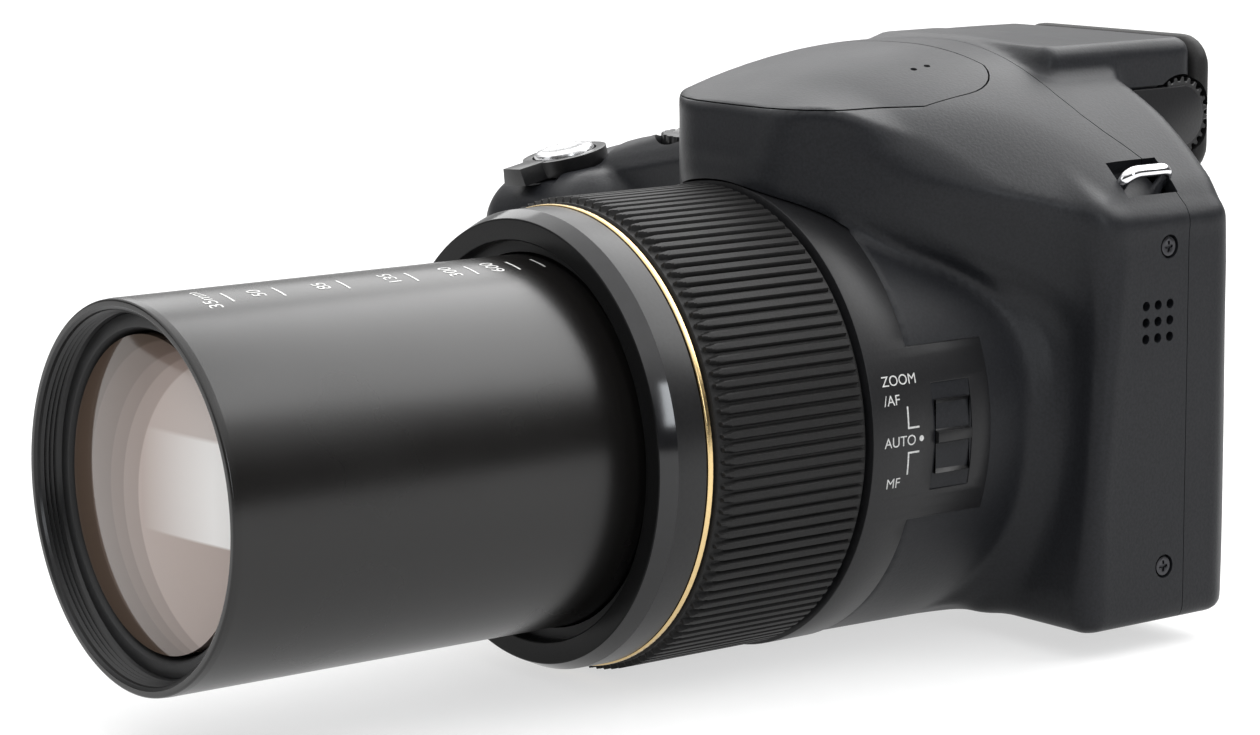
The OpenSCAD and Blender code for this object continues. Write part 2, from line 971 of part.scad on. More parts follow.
// Cap over the flash, cut from the hump and rolled round its hinge
module flash_lid() {
    color(black) {
        difference() {
            intersection() {
                difference() {
                    hump_form(0);
                    hump_form(1.6);
                }
                lid_zone(0);
            }
            for (side = [-1, 1])
                for (step = [0, 2.6])
                    translate([side * 12, -17.4 + step, seam_z])
                        cylinder(d = 0.9, h = 20, $fn = 16);
        }
        for (side = [-1, 1])
            translate([side * (ear_x + ear_t / 2 + gap + 1.5) - 1.5, hinge_y, hinge_z])
                rotate([0, 90, 0])
                    lid_knuckle();
    }
}

// Knuckle under the lid's rear edge with a bore for its pin
module lid_knuckle() {
    difference() {
        union() {
            cylinder(r = 1.6, h = 3);
            translate([-1.9, -1.2, 0])
                cube([1.9, 2.4, 3]);
        }
        translate([0, 0, -1])
            cylinder(r = hinge_pin_r + 0.05, h = 5);
    }
}

// Bracket on top of the barrel: a saddle, two ears and the pins the lid turns on
hinge_pin_r = 0.75;
ear_x = 11.2;
ear_t = 3.2;
ear_r = 1.4;
saddle_half = ear_x + ear_t / 2 + 0.4;

module flash_hinge() {
    color(silver) {
        difference() {
            translate([-saddle_half, hinge_y - 3.5, axis_height + root_r - 4])
                cube([2 * saddle_half, 6.2, 5.4]);
            on_axis(hinge_y - 5)
                cylinder(r = root_r, h = 10);
        }
        for (side = [-1, 1])
            translate([side * ear_x, hinge_y, hinge_z]) {
                translate([-ear_t / 2, -ear_r, root_r - lid_hinge_rise])
                    cube([ear_t, 2 * ear_r, lid_hinge_rise - root_r]);
                rotate([0, 90, 0])
                    translate([0, 0, -ear_t / 2])
                        cylinder(r = ear_r, h = ear_t);
                rotate([0, side * 90, 0])
                    cylinder(r = hinge_pin_r, h = ear_t / 2 + gap + 2.8);
            }
    }
}

head_front = -hump_reach + 7;
head_back = -23;
head_low = axis_height + 39.6;

module flash_head() {
    color(silver)
        difference() {
            intersection() {
                translate([-13, head_front, head_low])
                    cube([26, head_back - head_front, 20]);
                hump_form(1.6 + 0.1);
            }
            translate([-11.5, head_front - 1, head_low + 0.9])
                cube([23, 7, 4.2]);
        }
}

module flash_window() {
    color(glass)
        translate([-12, head_front - 1, head_low + 0.4])
            cube([24, 1, 5.2]);
}

module flash_tube() {
    color(glass)
        translate([-11.5, head_front + 4.4, head_low + 3])
            rotate([0, 90, 0])
                cylinder(r = 1.4, h = 23);
}

module flash_capacitor() {
    color(dark)
        translate([body_left - 14, plate_y - 3.4, 15])
            cylinder(r = 3.4, h = 28);
}

module shutter_button() {
    color(silver)
        at_release() {
            translate([0, 0, 1.9]) {
                cylinder(d = release_d, h = 1.6);
                translate([0, 0, 1.6])
                    cylinder(d1 = release_d, d2 = release_d - 3.6, h = 1);
            }
            translate([0, 0, -8])
                cylinder(d = 5.2, h = 10);
            translate([0, 0, -9])
                cylinder(d = 7, h = 1);
        }
}

module zoom_lever() {
    inner = release_d / 2 + gap;
    color(dark)
        at_release()
            difference() {
                union() {
                    translate([0, 0, gap])
                        cylinder(d = lever_d, h = 3);
                    translate([-2.6, -lever_d / 2 - 4, gap])
                        cube([5.2, 6, 3.4]);
                }
                translate([0, 0, -1])
                    cylinder(r = inner, h = 10);
            }
}

module mode_dial() {
    color(dark)
        translate([dial_at[0], dial_at[1], deck_height + gap]) {
            difference() {
                cylinder(d = dial_d, h = dial_h);
                for (i = [0:29])
                    rotate(i * 12)
                        translate([dial_d / 2 + 0.1, 0, -1])
                            cylinder(r = 0.5, h = dial_h + 2, $fn = 13);
            }
            translate([0, 0, -wall - 2 * gap - 1])
                cylinder(d = 5, h = wall + 2 * gap + 1);
            translate([0, 0, -wall - 2 * gap - 1])
                cylinder(d = 8, h = 1);
        }
}

module power_button() {
    color(grey)
        top_place(top_spots[0][1], top_spots[0][2])
            button(button_d, button_stand);
}

module function_button() {
    color(grey)
        top_place(top_spots[1][1], top_spots[1][2])
            button(button_d, button_stand);
}

module eyecup() {
    half = finder_width / 2 - 0.5;
    low = finder_base + 0.8;
    tall = finder_top - finder_base - 1.4;
    color(black)
        difference() {
            translate([-half, eyecup_y, low])
                cube([2 * half, eyecup_depth, tall]);
            translate([-13, eyecup_y - 1, low + 3.5])
                cube([26, eyecup_depth + 2, tall - 7]);
            diopter_room();
        }
}

module eyepiece_lens() {
    color(glass)
        translate([-12.7, eyecup_y - wall, finder_base + 4.6])
            cube([25.4, wall + 1.2, finder_top - finder_base - 8.8]);
}

module finder_display() {
    color(grey)
        translate([-8, board_y + 1.2, finder_base + wall])
            cube([16, eyecup_y - board_y - 12, 12]);
}

// Cover on the viewfinder's left cheek, round where it caps the dial
module finder_plate() {
    color(black)
        translate([finder_width / 2 + 0.05, 0, dial_axis_z])
            rotate([0, 90, 0])
                linear_extrude(height = 1.1)
                    union() {
                        translate([0, dial_axis_y])
                            circle(d = diopter_d - 2.4);
                        translate([-diopter_d / 2 + 1.2, body_back + 3])
                            square([diopter_d - 2.4, dial_axis_y - body_back - 3]);
                    }
}

module diopter_dial() {
    color(dark)
        translate([finder_width / 2 - 2.9, dial_axis_y, dial_axis_z])
            rotate([0, 90, 0]) {
                difference() {
                    cylinder(d = diopter_d, h = 2.6);
                    for (i = [0:23])
                        rotate(i * 15)
                            translate([diopter_d / 2 + 0.1, 0, -1])
                                cylinder(r = 0.4, h = 5, $fn = 13);
                }
                translate([0, 0, -4])
                    cylinder(d = 3.6, h = 4);
            }
}

module screen_panel() {
    mid = knuckle_spots[0] + knuckle_h + gap;
    mid_h = knuckle_spots[1] - gap - mid;
    color(black)
        difference() {
            union() {
                translate([screen_x - screen_w, body_back - screen_t, screen_z])
                    cube([screen_w, screen_t, screen_h]);
                translate([hinge_x, screen_axis_y, mid])
                    cylinder(r = knuckle_r, h = mid_h);
                translate([screen_x - 1, screen_axis_y - knuckle_r, mid])
                    cube([hinge_x - screen_x + 1, knuckle_r - 0.2, mid_h]);
            }
            translate([screen_x - screen_w + 3, body_back - 1, screen_z + 3])
                cube([screen_w - 8, 2, screen_h - 6]);
            translate([hinge_x, screen_axis_y, mid - 1])
                cylinder(r = screen_pin_r + 0.05, h = mid_h + 2);
        }
}

module screen_glass() {
    color(glass)
        translate([screen_x - screen_w + 3.05, body_back - 1, screen_z + 3.05])
            cube([screen_w - 8.1, 1, screen_h - 6.1]);
}

module screen_pin() {
    color(silver)
        translate([hinge_x, screen_axis_y, knuckle_spots[0] + 0.5])
            cylinder(r = screen_pin_r, h = knuckle_spots[1] + knuckle_h - knuckle_spots[0] - 1);
}

module rear_button(i) {
    color(grey)
        back_place(button_spots[i][1], button_spots[i][2])
            button(button_d, button_stand);
}

module record_button() rear_button(0);
module play_button() rear_button(1);
module menu_button() rear_button(2);
module delete_button() rear_button(3);

module four_way_pad() {
    color(grey)
        back_place(pad_spot[0], pad_spot[1])
            difference() {
                button(pad_d, button_stand);
                translate([0, 0, -1])
                    cylinder(d = button_d + 2 * gap, h = 10);
            }
}

module ok_button() {
    color(grey)
        back_place(pad_spot[0], pad_spot[1])
            translate([0, 0, -1])
                cylinder(d = button_d, h = button_back + button_stand + 1.3);
}

module battery() {
    color(grey)
        translate([door_x + 2.4, door_y + 4.4, door_t + 0.4])
            cube([16.6, door_d - 11, 40]);
}

module memory_card() {
    color(dark)
        translate([door_x + 20.9, door_y + 5, door_t + 0.4])
            cube([2.1, 24, 32]);
}

module battery_door() {
    edge = door_x + door_w - door_t / 2;
    color(black)
        difference() {
            union() {
                translate([door_x, door_y, 0])
                    cube([door_w - door_t / 2, door_d, door_t]);
                translate([edge, door_y, door_t / 2])
                    rotate([-90, 0, 0])
                        cylinder(r = door_t / 2, h = door_d);
                translate([edge, door_y - pintle + 0.2, door_t / 2])
                    rotate([-90, 0, 0])
                        cylinder(r = pintle_r, h = door_d + 2 * pintle - 0.4);
            }
            translate([door_x + 3, door_y + 6, -1])
                cube([1.2, door_d - 12, 1.4]);
        }
}

module port_cover() {
    edge = port_y + port_w - cover_t / 2;
    color(black) {
        translate([-body_right, port_y, port_z])
            cube([cover_t, port_w - cover_t / 2, port_h]);
        translate([-body_right + cover_t / 2, edge, port_z])
            cylinder(r = cover_t / 2, h = port_h);
        translate([-body_right + cover_t / 2, edge, port_z - pintle + 0.2])
            cylinder(r = pintle_r, h = port_h + 2 * pintle - 0.4);
    }
}

module port_block() {
    color(grey)
        difference() {
            translate([-body_right + cover_t + 2 * gap, port_y + 2.4, port_z + 1.5])
                cube([3.6, port_w - 4.6, port_h - 3]);
            for (z = [3.4, 10])
                translate([-body_right, port_y + 4.2, port_z + z])
                    cube([4.2, port_w - 8.2, 3.2]);
        }
}

// Flat staples for the neck strap, with two feet in the pocket's floor
module strap_lugs() {
    color(silver)
        for (spot = lug_spots)
            at_lug(spot)
                translate([0, 0, -lug_bar / 2])
                    linear_extrude(height = lug_bar)
                        difference() {
                            union() {
                                translate([-lug_foot, -lug_len / 2])
                                    square([lug_out - 2 + lug_foot, lug_len]);
                                translate([lug_out - 3, -lug_len / 2 + 2])
                                    square([3, lug_len - 4]);
                                for (side = [-1, 1])
                                    translate([lug_out - 2, side * (lug_len / 2 - 2)])
                                        circle(r = 2);
                            }
                            translate([-lug_foot - 1, -lug_len / 2 + lug_bar])
                                square([lug_out - lug_bar + lug_foot + 1, lug_len - 2 * lug_bar]);
                        }
}

module speaker() {
    color(dark)
        translate([body_left - wall - 3.2, grille_y, grille_z])
            rotate([0, 90, 0])
                cylinder(r = 4.2, h = 3);
}

module body_screws() {
    color(grey)
        for (spot = screw_spots)
            at_screw(spot) {
                difference() {
                    translate([0, 0, -screw_head_h])
                        cylinder(d = screw_head_d, h = screw_head_h - 0.15);
                    for (turn = [0, 90])
                        rotate(turn)
                            translate([-0.8, -0.2, -0.5])
                                cube([1.6, 0.4, 2]);
                }
                translate([0, 0, -screw_len])
                    cylinder(d = screw_head_d / 2, h = screw_len - screw_head_h);
            }
}

module tripod_socket() {
    color(silver)
        difference() {
            cylinder(d = socket_d, h = tripod_depth + 1.5);
            translate([0, 0, -1])
                cylinder(d = tripod_d, h = tripod_depth + 1);
        }
}

front_shell();
rear_shell();
lens_collar();
front_bezel();
gold_trim_ring();
guide_barrel();
barrel_seal();
cam_barrel();
zoom_tube();
follower_pins();
front_lens();
lens_retainer();
second_lens();
lens_cell();
focus_carriage();
focus_lens();
guide_rods();
ring_carrier();
ring_grip();
focus_switch();
sensor_mount();
image_sensor();
sensor_board();
chassis_frame();
main_board();
flash_lid();
flash_head();
flash_window();
flash_tube();
flash_hinge();
flash_capacitor();
shutter_button();
zoom_lever();
mode_dial();
power_button();
function_button();
eyecup();
eyepiece_lens();
finder_display();
finder_plate();
diopter_dial();
screen_panel();
screen_glass();
screen_hinge();
screen_pin();
record_button();
play_button();
menu_button();
delete_button();
four_way_pad();
ok_button();
battery();
memory_card();
battery_door();
port_cover();
port_block();
strap_lugs();
speaker();
body_screws();
tripod_socket();
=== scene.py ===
"""Looks for a bridge camera with its zoom tube run out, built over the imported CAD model."""
import contextlib
import itertools
import json
import math

import bmesh
import bpy
import numpy as np
from mathutils import Matrix, Vector

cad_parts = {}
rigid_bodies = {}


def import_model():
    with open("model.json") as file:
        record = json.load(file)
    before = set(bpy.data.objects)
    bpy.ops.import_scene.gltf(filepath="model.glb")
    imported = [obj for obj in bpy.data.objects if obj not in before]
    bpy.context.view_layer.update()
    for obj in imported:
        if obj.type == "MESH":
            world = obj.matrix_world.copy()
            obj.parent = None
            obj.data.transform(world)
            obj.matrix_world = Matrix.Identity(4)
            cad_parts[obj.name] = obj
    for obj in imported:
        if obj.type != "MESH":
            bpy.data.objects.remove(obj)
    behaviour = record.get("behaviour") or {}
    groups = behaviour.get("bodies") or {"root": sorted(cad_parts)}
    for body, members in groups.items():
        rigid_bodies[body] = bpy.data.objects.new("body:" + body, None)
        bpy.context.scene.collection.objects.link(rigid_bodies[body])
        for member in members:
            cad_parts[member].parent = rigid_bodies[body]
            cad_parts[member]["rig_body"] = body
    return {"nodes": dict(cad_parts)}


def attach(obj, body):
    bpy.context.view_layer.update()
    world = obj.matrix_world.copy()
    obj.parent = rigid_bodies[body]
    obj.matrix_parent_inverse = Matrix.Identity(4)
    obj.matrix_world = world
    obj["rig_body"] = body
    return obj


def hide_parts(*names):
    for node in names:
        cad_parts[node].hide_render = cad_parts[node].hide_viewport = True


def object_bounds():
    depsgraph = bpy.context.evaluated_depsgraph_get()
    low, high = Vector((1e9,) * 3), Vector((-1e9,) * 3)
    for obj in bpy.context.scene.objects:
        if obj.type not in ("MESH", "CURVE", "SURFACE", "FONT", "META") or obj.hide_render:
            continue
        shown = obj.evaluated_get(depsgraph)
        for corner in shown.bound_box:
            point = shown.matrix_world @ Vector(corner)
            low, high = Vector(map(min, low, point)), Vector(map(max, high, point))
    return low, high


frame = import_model()
cad_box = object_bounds()
scene = bpy.context.scene
MM = 0.001

# Sizes in millimetres, as in the CAD source; the lens looks along -Y at the height AXIS
AXIS = 30.5
TUBE_R, TUBE_BORE = 26.4, 24.2
RIM_Y, TUBE_END = -143.4, -70.4
LENS_SEAT, CLEAR_R = -138.0, 21.4
BEZEL_Y, TRIM_Y, RING_Y, BARREL_Y = -80.0, -72.6, -71.25, -36.1
GUIDE_OUT, BARREL_IN = 29.75, 32.75
RING_R, COLLAR_R = 33.8, 34.2
WALL, PART_Y = 1.8, 7.3
SEAM_Z, HINGE_Y, HINGE_Z, HINGE_ROLL = 75.8, -10.8, 79.2, 4.6
LID_HALF, LID_TURN, LID_BACK, LID_GAP, LID_WALL = 21.0, 9.0, -5.9, 0.18, 1.6
RELEASE_AT, RELEASE_TILT, RELEASE_DROP = (-66.0, -23.0, 60.4), (11.0, -4.0), 1.6
DECK, BACK_Y = 62.0, 17.0
SWITCH_Y = -29.3

# Places of the controls: (x, y) on the deck, (y, z) on the finder's side and (x, z) on the back
DIAL_AT, POWER_AT, FUNCTION_AT = (-40.0, -11.0), (-57.0, 2.4), (-46.0, 2.4)
DIOPTER_AT = (30.0, 70.7)
RECORD_AT, PLAY_AT, MENU_AT, DELETE_AT = (-58.0, 49.5), (-67.0, 41.5), (-49.0, 41.5), (-67.0, 9.5)
PAD_AT = (-57.0, 24.0)
BUTTON_D, PAD_D = 7.2, 20.0


# Materials

def new_material(name):
    mat = bpy.data.materials.new(name)
    mat.use_nodes = True
    tree = mat.node_tree
    return mat, tree, tree.nodes["Principled BSDF"]


def object_point(tree):
    return tree.nodes.new("ShaderNodeTexCoord").outputs["Object"]


def noise_of(tree, scale, detail):
    """Noise in object space."""
    noise = tree.nodes.new("ShaderNodeTexNoise")
    noise.inputs["Scale"].default_value = scale
    noise.inputs["Detail"].default_value = detail
    tree.links.new(object_point(tree), noise.inputs["Vector"])
    return noise.outputs["Fac"]


def map_range(tree, source, low, high, to_low, to_high, kind="LINEAR"):
    node = tree.nodes.new("ShaderNodeMapRange")
    node.interpolation_type = kind
    for field, value in (("From Min", low), ("From Max", high), ("To Min", to_low), ("To Max", to_high)):
        node.inputs[field].default_value = value
    tree.links.new(source, node.inputs["Value"])
    return node.outputs["Result"]


def maths(tree, how, a, b):
    """One maths node on a socket and a second socket or a number."""
    node = tree.nodes.new("ShaderNodeMath")
    node.operation = how
    tree.links.new(a, node.inputs[0])
    if isinstance(b, float):
        node.inputs[1].default_value = b
    else:
        tree.links.new(b, node.inputs[1])
    return node.outputs["Value"]


def colour_ramp(tree, source, stops):
    """A ramp through stops of (position, colour), given in order."""
    node = tree.nodes.new("ShaderNodeValToRGB")
    elements = node.color_ramp.elements
    for element, (position, colour) in zip(elements, (stops[0], stops[-1])):
        element.position, element.color = position, (*colour, 1)
    for position, colour in stops[1:-1]:
        elements.new(position).color = (*colour, 1)
    tree.links.new(source, node.inputs["Fac"])
    return node.outputs["Color"]


def grain(tree, bsdf, scale, strength, distance):
    """Fine bump from noise in object space; the noise is given back for colour and roughness."""
    noise = noise_of(tree, scale, 3.0)
    bump = tree.nodes.new("ShaderNodeBump")
    bump.inputs["Strength"].default_value = strength
    bump.inputs["Distance"].default_value = distance
    tree.links.new(noise, bump.inputs["Height"])
    tree.links.new(bump.outputs["Normal"], bsdf.inputs["Normal"])
    return noise


def ranged(tree, noise, low, high):
    """Noise spread over a range of values."""
    return map_range(tree, noise, 0.3, 0.7, low, high)


def tinted(tree, bsdf, noise, dark, light):
    """Base colour that wanders between two colours with a noise."""
    tree.links.new(colour_ramp(tree, noise, ((0.35, dark), (0.65, light))), bsdf.inputs["Base Color"])


def plastic(name, colour, rough, scale=2600.0, bump=0.12, distance=0.0001, spread=0.06, specular=0.5):
    """Moulded plastic: fine grain, and a slow change of roughness over the surface."""
    mat, tree, bsdf = new_material(name)
    noise = grain(tree, bsdf, scale, bump, distance)
    wear = ranged(tree, noise_of(tree, 45.0, 4.0), rough - spread / 2, rough + spread / 2)
    tree.links.new(wear, bsdf.inputs["Roughness"])
    tinted(tree, bsdf, noise, [c * 0.82 for c in colour], [c * 1.18 for c in colour])
    bsdf.inputs["Specular IOR Level"].default_value = specular
    return mat


def metal(name, colour, rough, scale=900.0, bump=0.05):
    mat, tree, bsdf = new_material(name)
    noise = grain(tree, bsdf, scale, bump, 0.00005)
    tree.links.new(ranged(tree, noise, rough * 0.8, rough * 1.2), bsdf.inputs["Roughness"])
    tinted(tree, bsdf, noise, [c * 0.92 for c in colour], colour)
    bsdf.inputs["Metallic"].default_value = 1.0
    return mat


def clear_glass(name, tint, rough):
    mat, tree, bsdf = new_material(name)
    noise = grain(tree, bsdf, 60.0, 0.004, 0.00005)
    tinted(tree, bsdf, noise, tint, [min(1.0, c * 1.04) for c in tint])
    bsdf.inputs["Transmission Weight"].default_value = 1.0
    bsdf.inputs["Roughness"].default_value = rough
    return mat


def glass_with_painted_reflection(name, dark, light, rough, painted_glow):
    """Warm coated glass inside the barrel, with a painted reflection that makes it lighter towards the +X
    side, and a painted glow from emission that follows it.
    """
    mat, tree, bsdf = new_material(name)
    noise = grain(tree, bsdf, 90.0, 0.01, 0.00005)
    split = tree.nodes.new("ShaderNodeSeparateXYZ")
    tree.links.new(object_point(tree), split.inputs["Vector"])
    # painted reflection: the colour runs from dark to light towards +X
    across = map_range(tree, split.outputs["X"], -0.02, 0.02, 0.15, 0.85)
    mixed = maths(tree, "ADD", maths(tree, "MULTIPLY", noise, 0.12), across)
    tinted(tree, bsdf, mixed, dark, light)
    bsdf.inputs["Roughness"].default_value = rough
    bsdf.inputs["Coat Weight"].default_value = 0.4
    # painted glow: emission that rises with the painted reflection
    tree.links.new(ranged(tree, mixed, 0.0, painted_glow), bsdf.inputs["Emission Strength"])
    bsdf.inputs["Emission Color"].default_value = (*light, 1)
    return mat


def painted_interior_glass(name, painted_bore_discs, painted_highlight_window):
    """Coated front glass with the stepped bores behind it painted on as nested discs, each further to +X and
    lighter: painted shading and painted reflection of the lit interior.

    Painted bore discs are (shift, radius, gain) of the discs; the painted highlight window is (low z, high z,
    x of full gain, gain), a painted highlight that grows towards +X between the two heights.
    """
    mat, tree, bsdf = new_material(name)
    grain(tree, bsdf, 60.0, 0.004, 0.00005)
    split = tree.nodes.new("ShaderNodeSeparateXYZ")
    tree.links.new(object_point(tree), split.inputs["Vector"])
    level = tree.nodes.new("ShaderNodeCombineXYZ")
    for axis in "XZ":
        tree.links.new(split.outputs[axis], level.inputs[axis])
    low, high, full_x, gain = painted_highlight_window
    # painted highlight: lighter towards +X, kept between low and high z
    over_low = map_range(tree, split.outputs["Z"], (low - 0.2) * MM, (low + 0.2) * MM, 0.0, 1.0)
    under_high = map_range(tree, split.outputs["Z"], (high - 0.3) * MM, (high + 0.3) * MM, 1.0, 0.3)
    total = map_range(tree, split.outputs["X"], 0.0, full_x * MM, 0.0, gain)
    total = maths(tree, "MULTIPLY", total, maths(tree, "MULTIPLY", over_low, under_high))
    # painted discs: each a further step of painted reflection, further to +X and lighter
    for shift, r, gain in painted_bore_discs:
        reach = tree.nodes.new("ShaderNodeVectorMath")
        reach.operation = "DISTANCE"
        reach.inputs[1].default_value = (shift * MM, 0, AXIS * MM)
        tree.links.new(level.outputs["Vector"], reach.inputs[0])
        painted_disc = map_range(tree, reach.outputs["Value"], (r - 0.15) * MM, (r + 0.15) * MM, gain, 0.0)
        total = maths(tree, "ADD", total, painted_disc)
    # colours of the painted light, from dark brown to a near-white painted highlight
    stops = ((0.0, (0.105, 0.074, 0.056)), (0.33, (0.205, 0.152, 0.128)),
             (0.58, (0.44, 0.352, 0.315)), (1.0, (0.92, 0.90, 0.88)))
    tree.links.new(colour_ramp(tree, total, stops), bsdf.inputs["Base Color"])
    bsdf.inputs["Roughness"].default_value = 0.05
    return mat


CASING = plastic("casing_black", (0.0130, 0.0137, 0.0160), 0.42, 2300.0, 0.22, 0.00012, specular=0.22)
COLLAR = plastic("collar_black", (0.0090, 0.0090, 0.0100), 0.38, 2300.0, 0.16, 0.0001, specular=0.34)
SATIN = plastic("satin_black", (0.009, 0.009, 0.0095), 0.32, 1800.0, 0.06, specular=0.35)
BEZEL = plastic("bezel_face", (0.007, 0.007, 0.0072), 0.30, 2600.0, 0.08, specular=0.12)
TUBE = plastic("tube_satin", (0.0080, 0.0074, 0.0070), 0.26, 3200.0, 0.08, 0.00008, specular=0.42)
GLOSS = plastic("gloss_black", (0.008, 0.008, 0.009), 0.12, 700.0, 0.01, spread=0.03)
RUBBER = plastic("ring_rubber", (0.0145, 0.0142, 0.0142), 0.52, 3000.0, 0.25, 0.0001, specular=0.2)
INNER = plastic("inner_black", (0.006, 0.006, 0.0065), 0.6, 1500.0, 0.1)
BUTTON = plastic("button_grey", (0.035, 0.035, 0.037), 0.38, 2000.0, 0.08)
PRINT = plastic("white_print", (0.62, 0.62, 0.61), 0.45, 4000.0, 0.02)
GOLD = metal("gold_ring", (0.78, 0.58, 0.29), 0.22)
STEEL = metal("screw_steel", (0.06, 0.06, 0.065), 0.36)
BRIGHT = metal("bright_steel", (0.62, 0.62, 0.63), 0.25)
CHROME = metal("chrome", (0.82, 0.82, 0.84), 0.09, 300.0, 0.01)
SILVER = metal("silver_button", (0.72, 0.72, 0.73), 0.24, 1200.0, 0.05)
ALUMINIUM = metal("inner_aluminium", (0.5, 0.5, 0.52), 0.4)
BRASS = metal("brass_pin", (0.7, 0.52, 0.25), 0.3)
BOARD = plastic("board_green", (0.012, 0.07, 0.035), 0.3, 500.0, 0.1)
WRAP = plastic("cell_wrap", (0.05, 0.055, 0.07), 0.3, 300.0, 0.03)
SCREEN = plastic("screen_gloss", (0.006, 0.0065, 0.009), 0.08, 300.0, 0.004, spread=0.02)
RED = plastic("red_print", (0.45, 0.02, 0.02), 0.4, 4000.0, 0.02)
# Front glass: painted discs and a painted highlight stand for the lit bores seen through it
LENS = painted_interior_glass("lens_glass",
                  [(6.2, 21.2, 0.17), (12.0, 20.8, 0.16), (15.5, 20.6, 0.09), (19.5, 20.6, 0.16)],
                  (AXIS - 4.0, AXIS + 9.5, 19.0, 0.5))
# Inner elements: painted reflection lighter towards +X and a painted glow
COATED = glass_with_painted_reflection("coated_element", (0.24, 0.16, 0.13), (0.98, 0.95, 0.92), 0.12, 0.38)
CLEAR = clear_glass("clear_window", (0.92, 0.93, 0.93), 0.08)


# Mesh tools, in millimetres

def linked(name, data):
    """An object in the scene."""
    obj = bpy.data.objects.new(name, data)
    scene.collection.objects.link(obj)
    return obj


def mesh_object(name, verts, faces):
    mesh = bpy.data.meshes.new(name)
    mesh.from_pydata([tuple(c * MM for c in v) for v in verts], [], [tuple(f) for f in faces])
    return linked(name, mesh)


def copy_of(obj, name):
    return linked(name, obj.data.copy())


@contextlib.contextmanager
def edited(obj):
    """The mesh of an object, open for editing."""
    bm = bmesh.new()
    bm.from_mesh(obj.data)
    yield bm
    bm.to_mesh(obj.data)
    bm.free()


def paint(obj, mat):
    """One material over the whole mesh, whatever slots the cutting left."""
    obj.data.materials.clear()
    obj.data.materials.append(mat)
    obj.data.polygons.foreach_set("material_index", [0] * len(obj.data.polygons))


def shade(obj, angle):
    """Smooth shading that breaks at edges sharper than an angle in degrees."""
    limit = math.radians(angle)
    with edited(obj) as bm:
        for face in bm.faces:
            face.smooth = True
        for edge in bm.edges:
            edge.smooth = len(edge.link_faces) == 2 and edge.calc_face_angle(0.0) < limit


def finish_piece(obj, body, node=None, angle=35.0):
    """Puts a piece on its body, in place of a CAD node if one is named; no angle leaves it flat shaded."""
    if angle is not None:
        shade(obj, angle)
    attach(obj, body)
    if node:
        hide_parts(node)


def piece(name, verts, faces, mat, body, node=None, angle=35.0):
    obj = mesh_object(name, verts, faces)
    obj.data.validate()
    obj.data.materials.append(mat)
    finish_piece(obj, body, node, angle)
    return obj


def arc(centre, r, angles):
    """Points of a circle at angles in degrees."""
    turns = [math.radians(a) for a in angles]
    return [(centre[0] + r * math.cos(a), centre[1] + r * math.sin(a)) for a in turns]


def on_lens(r, y, turn):
    """A point on a cylinder about the lens axis; the turn in degrees runs from the top towards +X."""
    a = math.radians(turn)
    return (r * math.sin(a), y, AXIS + r * math.cos(a))


def grid_faces(rows, columns, closed):
    """Quads between rows of points that each run in a loop; closed joins the last row to the first."""
    faces = []
    for i in range(rows if closed else rows - 1):
        a, b = i * columns, (i + 1) % rows * columns
        for k in range(columns):
            m = (k + 1) % columns
            faces.append((a + k, a + m, b + m, b + k))
    return faces


def turned(profile, steps=192, axis_z=AXIS):
    """Points and faces of a closed profile of (y, r) pairs turned about the lens axis."""
    verts = []
    for i in range(steps):
        a = 2 * math.pi * i / steps
        verts += [(r * math.sin(a), y, axis_z + r * math.cos(a)) for y, r in profile]
    return verts, grid_faces(steps, len(profile), True)


def rounded_profile(points, radii, steps=5):
    """A closed profile with each corner cut by an arc of the given radius."""
    out, n = [], len(points)
    for i, (p, r) in enumerate(zip(points, radii)):
        p = np.array(p, float)
        a = np.array(points[i - 1], float) - p
        b = np.array(points[(i + 1) % n], float) - p
        la, lb = np.linalg.norm(a), np.linalg.norm(b)
        if r <= 0:
            out.append(tuple(p))
            continue
        a, b = a / la, b / lb
        half = math.acos(max(-1.0, min(1.0, float(a @ b)))) / 2
        back = min(r / math.tan(half), 0.49 * la, 0.49 * lb)
        r = back * math.tan(half)
        mid = (a + b) / np.linalg.norm(a + b)
        centre = p + mid * r / math.sin(half)
        start, end = p + a * back - centre, p + b * back - centre
        for t in range(steps + 1):
            w = start * (1 - t / steps) + end * (t / steps)
            out.append(tuple(centre + w / np.linalg.norm(w) * r))
    return out


def solid(verts, faces, matrix=None):
    """A closed mesh facing outwards, moved by a matrix if one is given."""
    obj = mesh_object("cutter", verts, faces)
    with edited(obj) as bm:
        bmesh.ops.recalc_face_normals(bm, faces=bm.faces)
    if matrix is not None:
        obj.data.transform(matrix)
    return obj


def place(at, turns=()):
    """A matrix in metres: turns are (degrees, axis) in the order they are applied."""
    m = Matrix.Identity(4)
    for degrees, axis in turns:
        m = Matrix.Rotation(math.radians(degrees), 4, axis) @ m
    return Matrix.Translation(Vector(at) * MM) @ m


def block(low, high, matrix=None):
    """A box between two corners."""
    verts = [(x, y, z) for x in (low[0], high[0]) for y in (low[1], high[1]) for z in (low[2], high[2])]
    faces = [(0, 1, 3, 2), (4, 6, 7, 5), (0, 4, 5, 1), (2, 3, 7, 6), (0, 2, 6, 4), (1, 5, 7, 3)]
    return solid(verts, faces, matrix)


def extruded(outline, axis, low, high, matrix=None):
    """A solid along X, Y or Z from an outline in the other two directions, in their order."""
    n, at = len(outline), "XYZ".index(axis)
    verts = [(*point[:at], level, *point[at:]) for level in (low, high) for point in outline]
    ends = [range(n), range(2 * n - 1, n - 1, -1)]
    return solid(verts, grid_faces(2, n, False) + ends, matrix)


def rod(r, low, high, matrix=None, steps=64):
    """A rod along local z."""
    return extruded(arc((0, 0), r, [360 * i / steps for i in range(steps)]), "Z", low, high, matrix)


